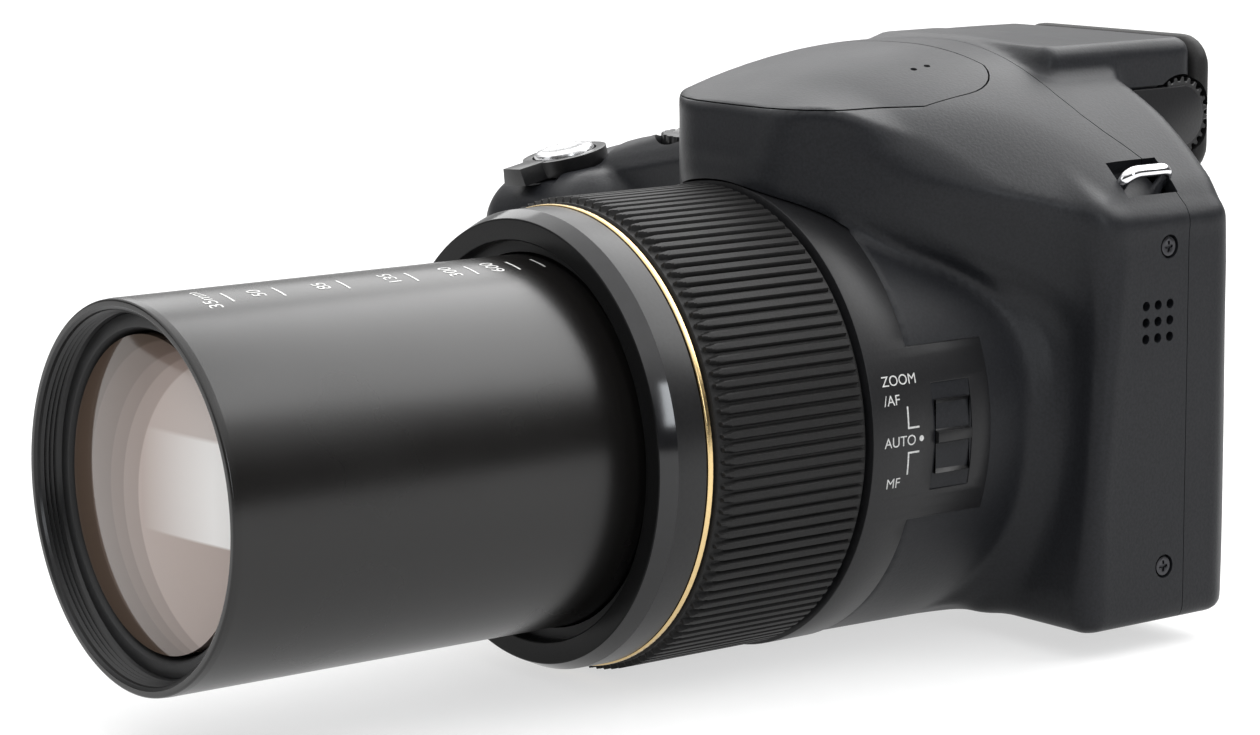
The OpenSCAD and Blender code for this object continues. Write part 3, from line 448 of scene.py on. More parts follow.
def lens_rod(r, y0, y1):
    return rod(r, 0, y1 - y0, place((0, y0, AXIS), [(-90, "X")]), 192)


def boolean(obj, other, how, keep=False):
    """Cuts an object by another, which is then thrown away unless it is kept."""
    mod = obj.modifiers.new("cut", "BOOLEAN")
    mod.operation = how
    mod.solver = "MANIFOLD"
    mod.object = other
    with bpy.context.temp_override(object=obj, active_object=obj):
        bpy.ops.object.modifier_apply(modifier=mod.name)
    if not keep:
        bpy.data.objects.remove(other, do_unlink=True)


def round_edges(obj, width, segments, least, merge=1e-6, flatten=False):
    """Bevels the edges sharper than an angle, after welding and, if asked, joining flat faces."""
    limit = math.radians(least)
    with edited(obj) as bm:
        bmesh.ops.remove_doubles(bm, verts=bm.verts, dist=merge)
        if flatten:
            bmesh.ops.dissolve_limit(bm, angle_limit=math.radians(0.6), verts=bm.verts, edges=bm.edges)
        sharp = [e for e in bm.edges if len(e.link_faces) == 2 and e.calc_face_angle(0.0) > limit]
        bmesh.ops.bevel(bm, geom=sharp, offset=width * MM, offset_type="OFFSET", segments=segments,
                        profile=0.5, affect="EDGES", clamp_overlap=True)


def eased_solid(obj, name, mat, body, node, width, segments, least):
    """Takes a solid made by cutting as a finished piece with rounded edges."""
    obj.name = name
    round_edges(obj, width, segments, least)
    paint(obj, mat)
    finish_piece(obj, body, node, angle=40)


def spun(name, profile, matrix, mat, body, node, steps):
    """A piece from a closed profile of (z, r) pairs turned about the z axis of a placing matrix."""
    verts, faces = turned(profile, steps, 0.0)
    obj = solid([(x, z, y) for x, y, z in verts], faces, matrix)
    obj.name = name
    with edited(obj) as bm:
        bmesh.ops.remove_doubles(bm, verts=bm.verts, dist=1e-7)
        bmesh.ops.recalc_face_normals(bm, faces=bm.faces)
    paint(obj, mat)
    finish_piece(obj, body, node, angle=30)


def surface_values(field, low, high, step):
    """The field on a grid of points."""
    axes = [np.arange(a, b + step, step, dtype=np.float32) for a, b in zip(low, high)]
    values = np.empty(tuple(len(a) for a in axes), np.float32)
    yy, zz = np.meshgrid(axes[1], axes[2], indexing="ij")
    for i, x in enumerate(axes[0]):
        values[i] = field(np.stack([np.full_like(yy, x), yy, zz], -1))
    return values


def cell_points(values, cells):
    """The mean of the places where each cell's edges cross the surface, in grid steps."""
    total, hits = np.zeros((len(cells), 3)), np.zeros(len(cells))
    for axis in range(3):
        others = [a for a in range(3) if a != axis]
        for da, db in ((0, 0), (0, 1), (1, 0), (1, 1)):
            start = cells.copy()
            start[:, others[0]] += da
            start[:, others[1]] += db
            end = start.copy()
            end[:, axis] += 1
            va, vb = values[tuple(start.T)], values[tuple(end.T)]
            crossing = (va < 0) != (vb < 0)
            t = np.where(crossing, va / np.where(crossing, va - vb, 1), 0)
            point = start.astype(float)
            point[:, axis] += t
            total[crossing] += point[crossing]
            hits[crossing] += 1
    return total / hits[:, None]


def net_quads(inside, index):
    """A quad facing outwards for each grid edge that crosses the surface."""
    faces = []
    for axis, o1, o2 in ((0, 1, 2), (1, 2, 0), (2, 0, 1)):
        a, b = [slice(None)] * 3, [slice(None)] * 3
        a[axis], b[axis] = slice(0, -1), slice(1, None)
        va, vb = inside[tuple(a)], inside[tuple(b)]
        at = np.argwhere(va != vb)
        inner = [(at[:, o] > 0) & (at[:, o] < inside.shape[o] - 1) for o in (o1, o2)]
        at = at[inner[0] & inner[1]]
        quad = []
        for s1, s2 in ((-1, -1), (0, -1), (0, 0), (-1, 0)):
            cell = at.copy()
            cell[:, o1] += s1
            cell[:, o2] += s2
            quad.append(index[tuple(cell.T)])
        quad = np.stack(quad, 1)
        back = ~va[tuple(at.T)]
        quad[back] = quad[back][:, ::-1]
        faces.append(quad)
    return np.concatenate(faces)


def pulled(field, points, step, rounds=4):
    """Moves points onto the surface along the slope of the field."""
    for _ in range(rounds):
        slope = np.stack([(field(points + d) - field(points - d)) / 0.04 for d in np.eye(3) * 0.02], -1)
        size = np.maximum((slope ** 2).sum(-1), 0.05)
        move = -(field(points) / size)[:, None] * slope
        points = points + np.clip(move, -0.4 * step, 0.4 * step)
    return points


def evened(points, faces, rounds=6):
    """Takes the ripple of single cells out of a net, shrinking and growing it by turns."""
    ends = np.concatenate([faces[:, [i, (i + 1) % 4]] for i in range(4)])
    n = len(points)
    count = np.bincount(ends[:, 0], minlength=n) + np.bincount(ends[:, 1], minlength=n)
    for i in range(rounds * 2):
        mean = np.stack([np.bincount(ends[:, 0], points[ends[:, 1], k], n)
                         + np.bincount(ends[:, 1], points[ends[:, 0], k], n) for k in range(3)], -1)
        mean /= count[:, None]
        points = points + (mean - points) * (0.5 if i % 2 == 0 else -0.53)
    return points


def surface_net(field, low, high, step):
    """Points and quads of the zero surface of a field, one point in each grid cell that it passes."""
    values = surface_values(field, low, high, step)
    inside = values < 0
    nx, ny, nz = (n - 1 for n in values.shape)
    count = np.zeros((nx, ny, nz), np.int8)
    for dx, dy, dz in np.ndindex(2, 2, 2):
        count += inside[dx:nx + dx, dy:ny + dy, dz:nz + dz]
    mixed = (count > 0) & (count < 8)
    cells = np.argwhere(mixed)
    index = np.full(mixed.shape, -1, np.int64)
    index[mixed] = np.arange(len(cells))
    faces = net_quads(inside, index)
    points = np.array(low) + cell_points(values, cells) * step
    return evened(pulled(field, points, step), faces), faces


def net_object(name, net, hollow=None):
    """A mesh object from a net; a hollow is a second net inside it, turned inside out."""
    points, quads = net
    if hollow is not None:
        quads = np.concatenate([quads, hollow[1][:, ::-1] + len(points)])
        points = np.concatenate([points, hollow[0]])
    return mesh_object(name, points.tolist(), quads.tolist())


# Distance fields of the casing's forms

def soft_max(a, b, k):
    """The larger of two values, rounded where they are within k of each other."""
    h = np.maximum(k - np.abs(a - b), 0.0) / k
    return np.maximum(a, b) + h * h * k * 0.25


def soft_min(a, b, k):
    return -soft_max(-a, -b, k)


def ramp(v, a, b):
    """A smooth step from 0 at a to 1 at b."""
    t = np.clip((v - a) / (b - a), 0.0, 1.0)
    return t * t * (3 - 2 * t)


def radial(p):
    return np.sqrt(p[..., 0] ** 2 + (p[..., 2] - AXIS) ** 2)


def hull_planes(points):
    """Outward normals of the convex hull of a few points."""
    pts, out = np.array(points, float), []
    centre = pts.mean(0)
    for p, q, r in itertools.combinations(pts, 3):
        normal = np.cross(q - p, r - p)
        size = np.linalg.norm(normal)
        if size < 1e-6:
            continue
        normal = normal / size
        if normal @ (centre - p) > 0:
            normal = -normal
        outermost = (pts @ normal).max() <= normal @ p + 1e-6
        if outermost and all(normal @ other < 0.9995 for other in out):
            out.append(normal)
    return np.array(out)


def directions(count):
    """Unit vectors spread evenly over a sphere."""
    i = np.arange(count) + 0.5
    z = 1 - 2 * i / count
    turn = i * math.pi * (3 - math.sqrt(5))
    side = np.sqrt(1 - z * z)
    return np.stack([side * np.cos(turn), side * np.sin(turn), z], -1)


def lump(points, r, base=None):
    """The hull of balls of one radius; with a base, cut level at Z 0 with an edge as soft as base says."""
    pts = np.array(points, float)
    flat, curved = hull_planes(points), directions(900)
    flat_reach, curved_reach = (pts @ flat.T).max(0) + r, (pts @ curved.T).max(0) + r

    def past(q, normals, reach):
        return (q @ normals.T.astype(q.dtype) - reach.astype(q.dtype)).max(1)

    def field(p):
        q = p.reshape(-1, 3)
        f = past(q, flat, flat_reach)
        near = np.flatnonzero((f > -4.5) & (f < 7.0))
        for part in np.array_split(near, len(near) // 4000 + 1):
            f[part] = np.maximum(f[part], past(q[part], curved, curved_reach))
        f = f.reshape(p.shape[:-1])
        return f if base is None else soft_max(f, -p[..., 2], base)
    return field


main_side = ((-8.5, -10), (13.5, -10), (-8.5, 5), (-4.5, 58.5), (13.5, 58.5))
main_lump = lump([(x, y, z) for x in (40.5, -57) for y, z in main_side], 3.5, 2.6)
hump_lump = lump(
    [(s * x, y, z) for s in (-1, 1) for x, y, z in (
        (12, -44, 73), (16, -44, 69.2), (14, -44, 67), (14, -21.5, 80), (17, 0, 81), (17, 10, 81))]
    + [(x, y, z) for y in (-3, 12) for x, z in ((39, 59), (-26, 57), (35, 50.5), (-26, 50.5))]
    + [(x, y, z) for y in (3, 12) for x, z in ((29.5, 70.5), (37.5, 63))], 5)
grip_lump = lump(
    [(x, y, -10) for x in (-72, -57) for y in (-25.5, 8)] + [(-71, -24.5, 49.6), (-56, -24.5, 51)]
    + [(x, y, z) for y in (0, 8) for x, z in ((-72, 53.2), (-49, 53))], 9, 2.6)
bridge_tops = ((-54, -17, 57.4), (-16, -17, 64.6), (-54, 5, 55), (-16, 5, 58.5))
bridge_lump = lump([(x, y, z) for x, y, top in bridge_tops for z in (50, top)], 7)
finder_lump = lump([(x, y, z) for x in (-17.5, 17.5) for y in (4, 30.2) for z in (62.6, 80.2)], 2.4)


def prow_field(p):
    """Front of the hump in plan: a flat face, leaning out at its foot, with round corners."""
    f = p @ np.array((0, -0.986, 0.166), p.dtype) - p.dtype.type(54.8)
    for side in (-1, 1):
        f = soft_max(f, p @ np.array((side * 0.61, -0.79, 0), p.dtype) - p.dtype.type(40.5), 2.6)
    return f


def roof_field(p):
    """Upper face of the hump: bent down to the front, more over the shoulder than over the grip side."""
    x, y, z = p[..., 0], p[..., 1], p[..., 2]
    bend = np.where(x > 0, 0.0113 - 0.0073 * ramp(y, -28, -41), 0.0035)
    return (z - 82.9 + 0.0039 * np.maximum(-y, 0) ** 2 + bend * x * x) / np.sqrt(1 + (2 * bend * x) ** 2)


def flare_field(p):
    """The sleeve that the body swells into round the barrel, ending at a curved lip."""
    y, rise = p[..., 1], p[..., 2] - AXIS
    lip = -12.9 - 5.2e-4 * np.maximum(rise, 0) ** 3 - 1.15e-4 * np.maximum(-rise, 0) ** 3
    side = radial(p) - 35.0 - np.maximum(y - lip, 0) * 0.15
    f = soft_max(side, lip - y, 2.4)
    f = soft_max(f, y - 2.0, 1.0)
    return soft_max(f, 1.5 - p[..., 2], 1.0)


def barrel_field(p):
    """The root of the lens barrel, a slight cone."""
    y = p[..., 1]
    side = radial(p) - 33.9 - (y - BARREL_Y) * 0.012
    return np.maximum(np.maximum(side, BARREL_Y - y), y + 8.0)


def casing_field(p):
    """All the forms of the casing, blended softly where the photograph shows a soft join."""
    y, z = p[..., 1], p[..., 2]
    hump = soft_max(hump_lump(p), roof_field(p), 2.4)
    hump = soft_max(hump, prow_field(p), 1.0 + 2.8 * ramp(z, 75, 71))
    f = soft_min(main_lump(p), hump, 0.6 + 6.4 * ramp(y, -4, -10))
    f = soft_min(f, flare_field(p), 0.6 + 4.4 * ramp(y, -2, -6))
    f = soft_min(f, bridge_lump(p), 0.6 + 5.4 * ramp(z, 60, 54))
    f = soft_min(f, grip_lump(p), 0.6 + 7.4 * ramp(z, 60, 50) * ramp(z, 2, 8) * ramp(y, 12, 6))
    f = soft_min(f, finder_lump(p), 2.0)
    return soft_min(f, barrel_field(p), 2.4)


# Casing: the skin and its hollow, cut by the openings and split at the parting face

STEP = 0.8
LOW, HIGH = (-83.0, -45.5, -5.5), (46.5, 35.5, 86.0)
FAR = 200.0
skin = surface_net(casing_field, LOW, HIGH, STEP)
hollow = surface_net(lambda p: casing_field(p) + WALL, LOW, HIGH, 1.5)
whole = net_object("casing", skin, hollow)
full = net_object("casing_full", skin)
cavity = net_object("casing_hollow", hollow)

# The parting face from the side, as (y, z): upright, then swinging forward over the shoulder
PARTING = [(PART_Y, -FAR), (PART_Y, 61), (6.6, 64), (5.2, 66.6), (3.4, 69), (1.5, 71.3), (0.2, 73.5),
           (-0.6, 76), (-0.8, 79), (-0.8, FAR)]

seat = place(RELEASE_AT, [(RELEASE_TILT[0], "X"), (RELEASE_TILT[1], "Y")]) @ place((0, 0, -RELEASE_DROP))
diopter_place = place((0, *DIOPTER_AT), [(90, "Y")])
lug_places = (place((39.4, 2.4, 65.3), [(-50, "Y")]), place((-79.2, 0.4, 57.6), [(180, "Z"), (35, "Y")]))


def lid_zone(grow):
    """Space of the flash lid: above its seam, back to the hinge roll, with one round rear corner in plan."""
    half, back, beyond = LID_HALF + grow, LID_BACK + grow, 40
    zone = block((-beyond, -FAR, SEAM_Z - grow), (beyond, HINGE_Y, FAR))
    roll = rod(HINGE_ROLL + grow, -beyond, beyond, place((0, HINGE_Y, HINGE_Z), [(90, "Y")]))
    boolean(zone, roll, "UNION")
    corner = arc((half - LID_TURN, back - LID_TURN), LID_TURN, range(90, -1, -10))
    plan = [(-half, back)] + corner + [(half, -FAR), (-half, -FAR)]
    boolean(zone, extruded(plan, "Z", 0, FAR), "INTERSECT")
    return zone


def lid_hollow_field(p):
    """The hollow of the lid: under its skin, 2 mm inside its sides and ahead of the hinge roll."""
    side = np.abs(p[..., 0]) - (LID_HALF - 2)
    return np.maximum.reduce([casing_field(p) + LID_WALL, 70 - p[..., 2], p[..., 1] + 15, side])


def flash_cap():
    """The flash lid, with a pair of microphone holes."""
    lid = copy_of(full, "flash_cap")
    boolean(lid, lid_zone(0.0), "INTERSECT")
    inside = surface_net(lid_hollow_field, (-22, -45, 66), (22, -10, 86), 1.2)
    boolean(lid, net_object("lid_hollow", inside), "DIFFERENCE")
    for y in (-17.4, -14.8):
        boolean(lid, rod(0.5, 76, 90, place((12, y, 0)), 20), "DIFFERENCE")
    paint(lid, CASING)
    finish_piece(lid, "flash_unit", "flash_lid", angle=32)


def front_side():
    """Everything ahead of the parting face."""
    return extruded(PARTING + [(-FAR, FAR), (-FAR, -FAR)], "X", -FAR, FAR)


def lug_pocket(at):
    return block((-2.6, -5.0, -3.3), (12, 4.8, 3.3), at)


def diopter_pocket():
    return rod(6.4, 16.8, 26, diopter_place)


def door_opening():
    return block((-77.35, -26.35, -1), (-52.65, 8.35, 2.15))


def deck_openings():
    """Solids that open the deck: flash, release with its lever's sweep, dial and buttons."""
    head = block((-15, -39, 65.3), (15, HINGE_Y, 100))
    release_stem, release_well = rod(2.95, -30, 30, seat, 32), rod(7.6, 0, 20, seat)
    cuts = [lid_zone(LID_GAP), head, release_stem, release_well]
    for turn in (-20, -10, 0, 10, 20):
        cuts.append(block((-3.3, -11.4, 0), (3.3, -5, 20), seat @ place((0, 0, 0), [(turn, "Z")])))
    dial = place((*DIAL_AT, 0))
    dial_stem, dial_well = rod(2.85, DECK - 8, DECK + 12, dial, 32), rod(11.0, DECK, DECK + 20, dial)
    cuts += [dial_stem, dial_well]
    for at in (POWER_AT, FUNCTION_AT):
        cuts.append(rod(3.95, DECK - 5, DECK + 20, place((*at, 0)), 40))
    return cuts


def side_openings():
    """Solids that open the sides and base: barrel, battery, ports, tripod socket, screws, grille and lugs."""
    collar, barrel = lens_rod(COLLAR_R + 0.25, -120, BARREL_Y), lens_rod(BARREL_IN, -120, -10.9)
    battery = block((-76, -24.5, -1), (-54, 6.5, 9))
    cover = block((-82, -8.35, 19.65), (-78.9, 4.35, 38.35))
    ports = block((-82, -5.6, 21.5), (-74, 1.8, 36.5))
    tripod = rod(6.0, -1, 9)
    cuts = [collar, barrel, door_opening(), battery, cover, ports, tripod]
    for z in (55.5, 8.5):
        cuts.append(rod(1.75, 43.1, 48, place((0, 3.4, z), [(90, "Y")]), 32))
    for x in (36, -26):
        cuts.append(rod(1.75, -3, 0.9, place((x, 3, 0)), 32))
    pitch = 2.4
    for row in (-1, 0, 1):
        for column in (-1, 0, 1):
            at = (0, 1.3 + column * pitch, 44.8 + row * pitch)
            cuts.append(rod(0.72, 38, 50, place(at, [(90, "Y")]), 20))
    return cuts + [lug_pocket(at) for at in lug_places]


def front_casing():
    front = copy_of(whole, "front_casing")
    boolean(front, front_side(), "INTERSECT")
    for at in lug_places:
        pocket_wall = block((-4.2, -6.2, -4.8), (5.2, 5.6, 4.8), at)
        boolean(pocket_wall, copy_of(full, "trim"), "INTERSECT")
        boolean(pocket_wall, front_side(), "INTERSECT")
        boolean(front, pocket_wall, "UNION")
    boolean(front, rod(8.0, -6, 0, seat), "UNION")
    for cutter in deck_openings() + side_openings():
        boolean(front, cutter, "DIFFERENCE")
    paint(front, CASING)
    finish_piece(front, "body", "front_shell", angle=32)


def rear_casing():
    """The back with the finder's housing, the screen's tray and the holes for the buttons."""
    rear = copy_of(whole, "rear_casing")
    tray = block((-37.85, 9.8, 2.2), (42.55, 16.6, 58.8))
    boolean(tray, copy_of(full, "trim"), "INTERSECT")
    boolean(rear, tray, "UNION")
    seam = [(y + 0.12, z + 0.08) for y, z in PARTING]
    boolean(rear, extruded(seam + [(FAR, FAR), (FAR, -FAR)], "X", -FAR, FAR), "INTERSECT")
    screen = block((-36.05, 11.6, 4.0), (40.75, 60, 57.0))
    eyepiece = block((-13, 26.8, 63.5), (13, 40, 78.5))
    diopter_stem = rod(2.15, 0, 26, diopter_place, 32)
    cheek = block((19.0, 17.0, 61.5), (30, 30, 75.7))
    cuts = [screen, eyepiece, diopter_pocket(), diopter_stem, cheek, lug_pocket(lug_places[0]), door_opening()]
    holes = [(at, BUTTON_D) for at in (RECORD_AT, PLAY_AT, MENU_AT, DELETE_AT)] + [(PAD_AT, PAD_D)]
    for (x, z), d in holes:
        cuts.append(rod(d / 2 + 0.3, 0, 40, place((x, 10, z), [(-90, "X")])))
    for cutter in cuts:
        boolean(rear, cutter, "DIFFERENCE")
    paint(rear, CASING)
    finish_piece(rear, "body", "rear_shell", angle=32)


flash_cap()
front_casing()
rear_casing()
for spare in (whole, full):
    bpy.data.objects.remove(spare, do_unlink=True)


# Lens barrel pieces

def striped_ring(name, points, radii, mats, split, body, node):
    """A turned ring; split gives the number of the material at a depth and radius of its profile."""
    profile = rounded_profile(points, radii)
    obj = piece(name, *turned(profile), mats[0], body, node, angle=28)
    for mat in mats[1:]:
        obj.data.materials.append(mat)
    n = len(profile)
    for index, poly in enumerate(obj.data.polygons):
        (y0, r0), (y1, r1) = profile[index % n], profile[(index + 1) % n]
        poly.material_index = split((y0 + y1) / 2, (r0 + r1) / 2)


def tube_skin():
    """The zoom tube, with filter thread lines inside its rim."""
    thread = []
    for i in range(4):
        y = RIM_Y + 0.75 + i * 0.7
        thread += [(y, 24.85), (y + 0.35, 24.45)]
    outline = [(RIM_Y + 0.3, 24.95), (RIM_Y, 25.4), (RIM_Y, TUBE_R - 0.1), (RIM_Y + 1.2, TUBE_R),
               (TUBE_END, TUBE_R), (TUBE_END, TUBE_BORE), (RIM_Y + 3.7, TUBE_BORE)]
    radii = [0.1, 0.25, 0.35, 0.3, 0.2, 0.2, 0.1]
    striped_ring("tube_skin", outline + thread[::-1], radii + [0.04] * len(thread), [TUBE, SATIN],
                 lambda y, r: 1 if r < 25.2 else 0, "zoom_unit", "zoom_tube")


def bezel_ring():
    """The front bezel: a dull face, a polished bevel and a satin band."""
    bevel_y = BEZEL_Y + 2.5
    outline = [(BEZEL_Y + 2.4, 28.3), (BEZEL_Y + 0.1, 28.45), (BEZEL_Y, 31.5), (bevel_y, 32.65),
               (TRIM_Y - 0.1, 32.72), (TRIM_Y - 0.1, GUIDE_OUT + 0.02), (BEZEL_Y + 2.4, GUIDE_OUT + 0.02)]

    def part(y, r):
        if y < BEZEL_Y + 0.12:
            return 2
        return 1 if y < bevel_y and r > 31.4 else 0
    striped_ring("bezel_ring", outline, [0.0, 0.25, 0.3, 0.3, 0.15, 0, 0], [SATIN, GLOSS, BEZEL], part,
                 "body", "front_bezel")


def gold_ring():
    edge = TRIM_Y + 0.85
    outline = [(TRIM_Y, 31.5), (TRIM_Y, 32.95), (edge, 32.95), (edge, 32.6), (edge + 0.15, 31.5)]
    profile = rounded_profile(outline, [0, 0.25, 0.25, 0, 0])
    piece("gold_ring", *turned(profile), GOLD, "body", "gold_trim_ring")


def rubber_ring(ribs=120):
    """Ribs as a height field round the ring: pointed at the front, with a step at the rear edge."""
    per = 12
    count, bore = ribs * per, 31.7
    low, high = RING_R - 0.75, RING_R
    start, end = RING_Y + 0.75, RING_Y + 26.7
    rows = [(RING_Y, bore, 0), (RING_Y, low - 0.3, 0), (RING_Y + 0.25, low, 0), (start, low, 0)]
    rows += [(start + 2.1 * t, None, t) for t in (0.06, 0.25, 0.5, 0.75, 1.0)]
    rows += [(y, None, 1) for y in np.linspace(RING_Y + 6, end - 3, 5)]
    rows += [(end - 1.0, None, 1), (end - 0.8, low + 0.1, 0), (end - 0.3, low + 0.1, 0), (end, low - 0.2, 0),
             (end, bore, 0)]
    verts = []
    for y, r, wide in rows:
        for i in range(count):
            phase = abs((i % per) / per - 0.5) * 2
            lift = 1 - min(max((phase - 0.08 - 0.5 * wide) / 0.26, 0), 1)
            verts.append(on_lens(low + (high - low) * lift if r is None else r, y, 360 * i / count))
    faces = grid_faces(len(rows), count, True)
    piece("rubber_ring", verts, faces, RUBBER, "control_ring", "ring_grip", angle=40)


def front_element():
    """The front glass: a shallow dome in front, a flat edge and a hollow back, as (depth, radius) pairs."""
    edge, rise, face, back, rim = CLEAR_R - 0.1, 1.8, LENS_SEAT - 1.4, LENS_SEAT + 3.0, 20.5
    curve = (edge ** 2 + rise ** 2) / (2 * rise)
    radii = [edge * i / 14 for i in range(15)]
    profile = [(face + curve - math.sqrt(curve ** 2 - r ** 2) - rise, r) for r in radii]
    profile += [(back, edge), (back, rim)]
    profile += [(back - 1.2 * (1 - (i / 8) ** 2), rim * i / 8) for i in range(8, -1, -1)]
    spun("front_element", profile, place((0, 0, AXIS), [(-90, "X")]), LENS, "zoom_unit", "front_lens", 160)


tube_skin()
bezel_ring()
gold_ring()
rubber_ring()
front_element()


# CAD nodes with their edges eased

def eased(node, mat, width, within=None):
    """A copy of a CAD node with rounded edges, shown in its place; trimmed to a hollow if one is given."""
    source = frame["nodes"][node]
    obj = copy_of(source, node + "_skin")
    normals = obj.data.attributes.get("custom_normal")
    if normals:
        obj.data.attributes.remove(normals)
    round_edges(obj, width, 2, 45, merge=2e-6, flatten=True)
    if within is not None:
        boolean(obj, within, "INTERSECT", keep=True)
    paint(obj, mat)
    finish_piece(obj, source["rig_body"], node, angle=32)


for button in ("power", "function", "record", "play", "menu", "delete"):
    eased(button + "_button", BUTTON, 0.3)
EASED = {
    "lens_collar": (COLLAR, 0.18), "lens_retainer": (INNER, 0.15), "mode_dial": (SATIN, 0.3),
    "screen_panel": (CASING, 0.5), "screen_glass": (SCREEN, 0.12), "screen_hinge": (SATIN, 0.2),
    "four_way_pad": (BUTTON, 0.35), "ok_button": (SATIN, 0.3), "battery_door": (CASING, 0.3),
    "port_cover": (RUBBER, 0.4), "body_screws": (STEEL, 0.08), "tripod_socket": (BRIGHT, 0.25),
    "eyepiece_lens": (SCREEN, 0.3),
}
for node, (mat, width) in EASED.items():
    eased(node, mat, width)
eased("flash_head", SATIN, 0.3, within=cavity)
eased("flash_hinge", BRIGHT, 0.1, within=cavity)
bpy.data.objects.remove(cavity, do_unlink=True)


# Controls

def switch_knob():
    """Slider of the focus switch: two hollows with a ridge between them, as (x, z) about the lens axis."""
    half, ridge, face = 5.3, 0.9, 34.05
    outline = [(31.4, -half), (face + 0.05, -half)]
    for low, high in ((-half, -ridge), (ridge, half)):
        for i in range(9):
            outline.append((face - math.sin(math.pi * i / 8), low + (high - low) * i / 8))
        if low < 0:
            outline += [(face + 0.7, -0.75), (face + 0.7, 0.75)]
    outline += [(face + 0.05, half), (31.4, half)]
    knob = extruded([(x, AXIS + z) for x, z in outline], "Y", SWITCH_Y - 3.2, SWITCH_Y + 3.2)
    eased_solid(knob, "switch_knob", SATIN, "focus_slider", "focus_switch", 0.12, 2, 50)


def release_cap():
    """The shutter button: a stem and a cap with a round edge and a dished top, as (z, r) pairs."""
    stem = [(-8.5, 0), (-8.5, 2.5), (1.9, 2.5)]
    edge = [(1.9, 4.8), (2.1, 5.0), (3.0, 5.0), (3.5, 4.8), (3.8, 4.4), (3.92, 3.8)]
    dish = [(3.86, 3.0), (3.74, 2.0), (3.67, 1.0), (3.65, 0)]
    spun("release_cap", stem + edge + dish, seat, SILVER, "release", "shutter_button", 96)


def rocker():
    """The zoom lever: a ring round the shutter button with a nub at its front."""
    lever = rod(6.9, 0.35, 3.0, seat, 96)
    nub = extruded([(-2.9, 0.35), (2.9, 0.35), (2.3, 3.1), (-2.3, 3.1)], "Y", -10.8, -5.6, seat)
    boolean(lever, nub, "UNION")
    boolean(lever, rod(5.3, -2, 8, seat, 96), "DIFFERENCE")
    eased_solid(lever, "rocker", SATIN, "lever", "zoom_lever", 0.7, 3, 40)


switch_knob()
release_cap()
rocker()


# Viewfinder and strap lugs

def eyecup_field(p):
    """A round-cornered frame with soft edges."""
    across = np.abs(np.stack([p[..., 0], p[..., 2] - 71.8], -1))

    def frame_box(half_x, half_z, round_r):
        q = across - np.array((half_x - round_r, half_z - round_r), p.dtype)
        return np.sqrt((np.maximum(q, 0) ** 2).sum(-1)) + np.minimum(q.max(-1), 0) - round_r
    depth = np.abs(p[..., 1] - 34.8) - 2.0
    outside = soft_max(frame_box(19.9, 10.9, 5.0), depth, 2.2)
    return soft_max(outside, -frame_box(13.2, 6.8, 3.0), 1.6)


def eyecup():
    cup = net_object("eyecup_frame", surface_net(eyecup_field, (-22, 30.5, 58.5), (22, 39, 84.5), 0.7))
    boolean(cup, diopter_pocket(), "DIFFERENCE")
    paint(cup, RUBBER)
    finish_piece(cup, "body", "eyecup", angle=38)


def diopter_wheel(teeth=24):
    outline = []
    for i in range(teeth):
        for part, r in ((0.0, 5.3), (0.38, 5.3), (0.5, 6.0), (0.88, 6.0)):
            outline += arc(DIOPTER_AT, r, [360 * (i + part) / teeth])
    wheel = extruded(outline, "X", 17.2, 19.7)
    eased_solid(wheel, "diopter_wheel", SATIN, "diopter", "diopter_dial", 0.12, 1, 50)


def cheek_plate():
    """The plate on the finder's side, with a round end over the diopter wheel."""
    outline = [(29.2, 61.9), (16.9, 61.9), (16.9, 75.3), (29.2, 75.3)]
    outline += arc(DIOPTER_AT, 4.75, range(80, -81, -16))
    plate = extruded(outline, "X", 18.9, 20.0)
    eased_solid(plate, "cheek_plate", COLLAR, "body", "finder_plate", 0.25, 2, 40)


def bent_bar(points, r, matrix, steps=16):
    """A round bar along a flat path of (x, y) points in the plane of a placing matrix."""
    verts = []
    pts = [np.array(p, float) for p in points]
    for i, p in enumerate(pts):
        along = pts[min(i + 1, len(pts) - 1)] - pts[max(i - 1, 0)]
        along /= np.linalg.norm(along)
        side = np.array((-along[1], along[0]))
        for k in range(steps):
            a = 2 * math.pi * k / steps
            verts.append((*(p + side * r * math.cos(a)), r * 1.15 * math.sin(a)))
    ends = [range(steps), range(len(verts) - 1, len(verts) - steps - 1, -1)]
    return solid(verts, grid_faces(len(pts), steps, False) + ends, matrix)


def lug_loops():
    """Two chrome staples with round corners, one in each pocket."""
    half = [(-3.0, -4.2), (-0.2, -4.2)] + arc((-0.2, -2.4), 1.8, range(-75, 1, 15))
    staple = half + [(x, -y) for x, y in half[::-1]]
    left, right = (bent_bar(staple, 0.85, at @ place((0, 0, -0.4))) for at in lug_places)
    boolean(left, right, "UNION")
    left.name = "lug_loops"
    paint(left, CHROME)
    finish_piece(left, "body", "strap_lugs", angle=40)


eyecup()
diopter_wheel()
cheek_plate()
lug_loops()


# Prints, bent onto what carries them

INK = 0.03


def glyphs(text, size, align="CENTER"):
    """Flat outline mesh of a text, in millimetres about its anchor."""
    curve = bpy.data.curves.new("label", "FONT")
    curve.body, curve.size = text, size
    curve.align_x, curve.align_y = align, "CENTER"
    holder = linked("label", curve)
    mesh = bpy.data.meshes.new_from_object(holder)
    shape = [tuple(v.co)[:2] for v in mesh.vertices], [tuple(p.vertices) for p in mesh.polygons]
    bpy.data.objects.remove(holder, do_unlink=True)
    bpy.data.curves.remove(curve)
    bpy.data.meshes.remove(mesh)
    return shape


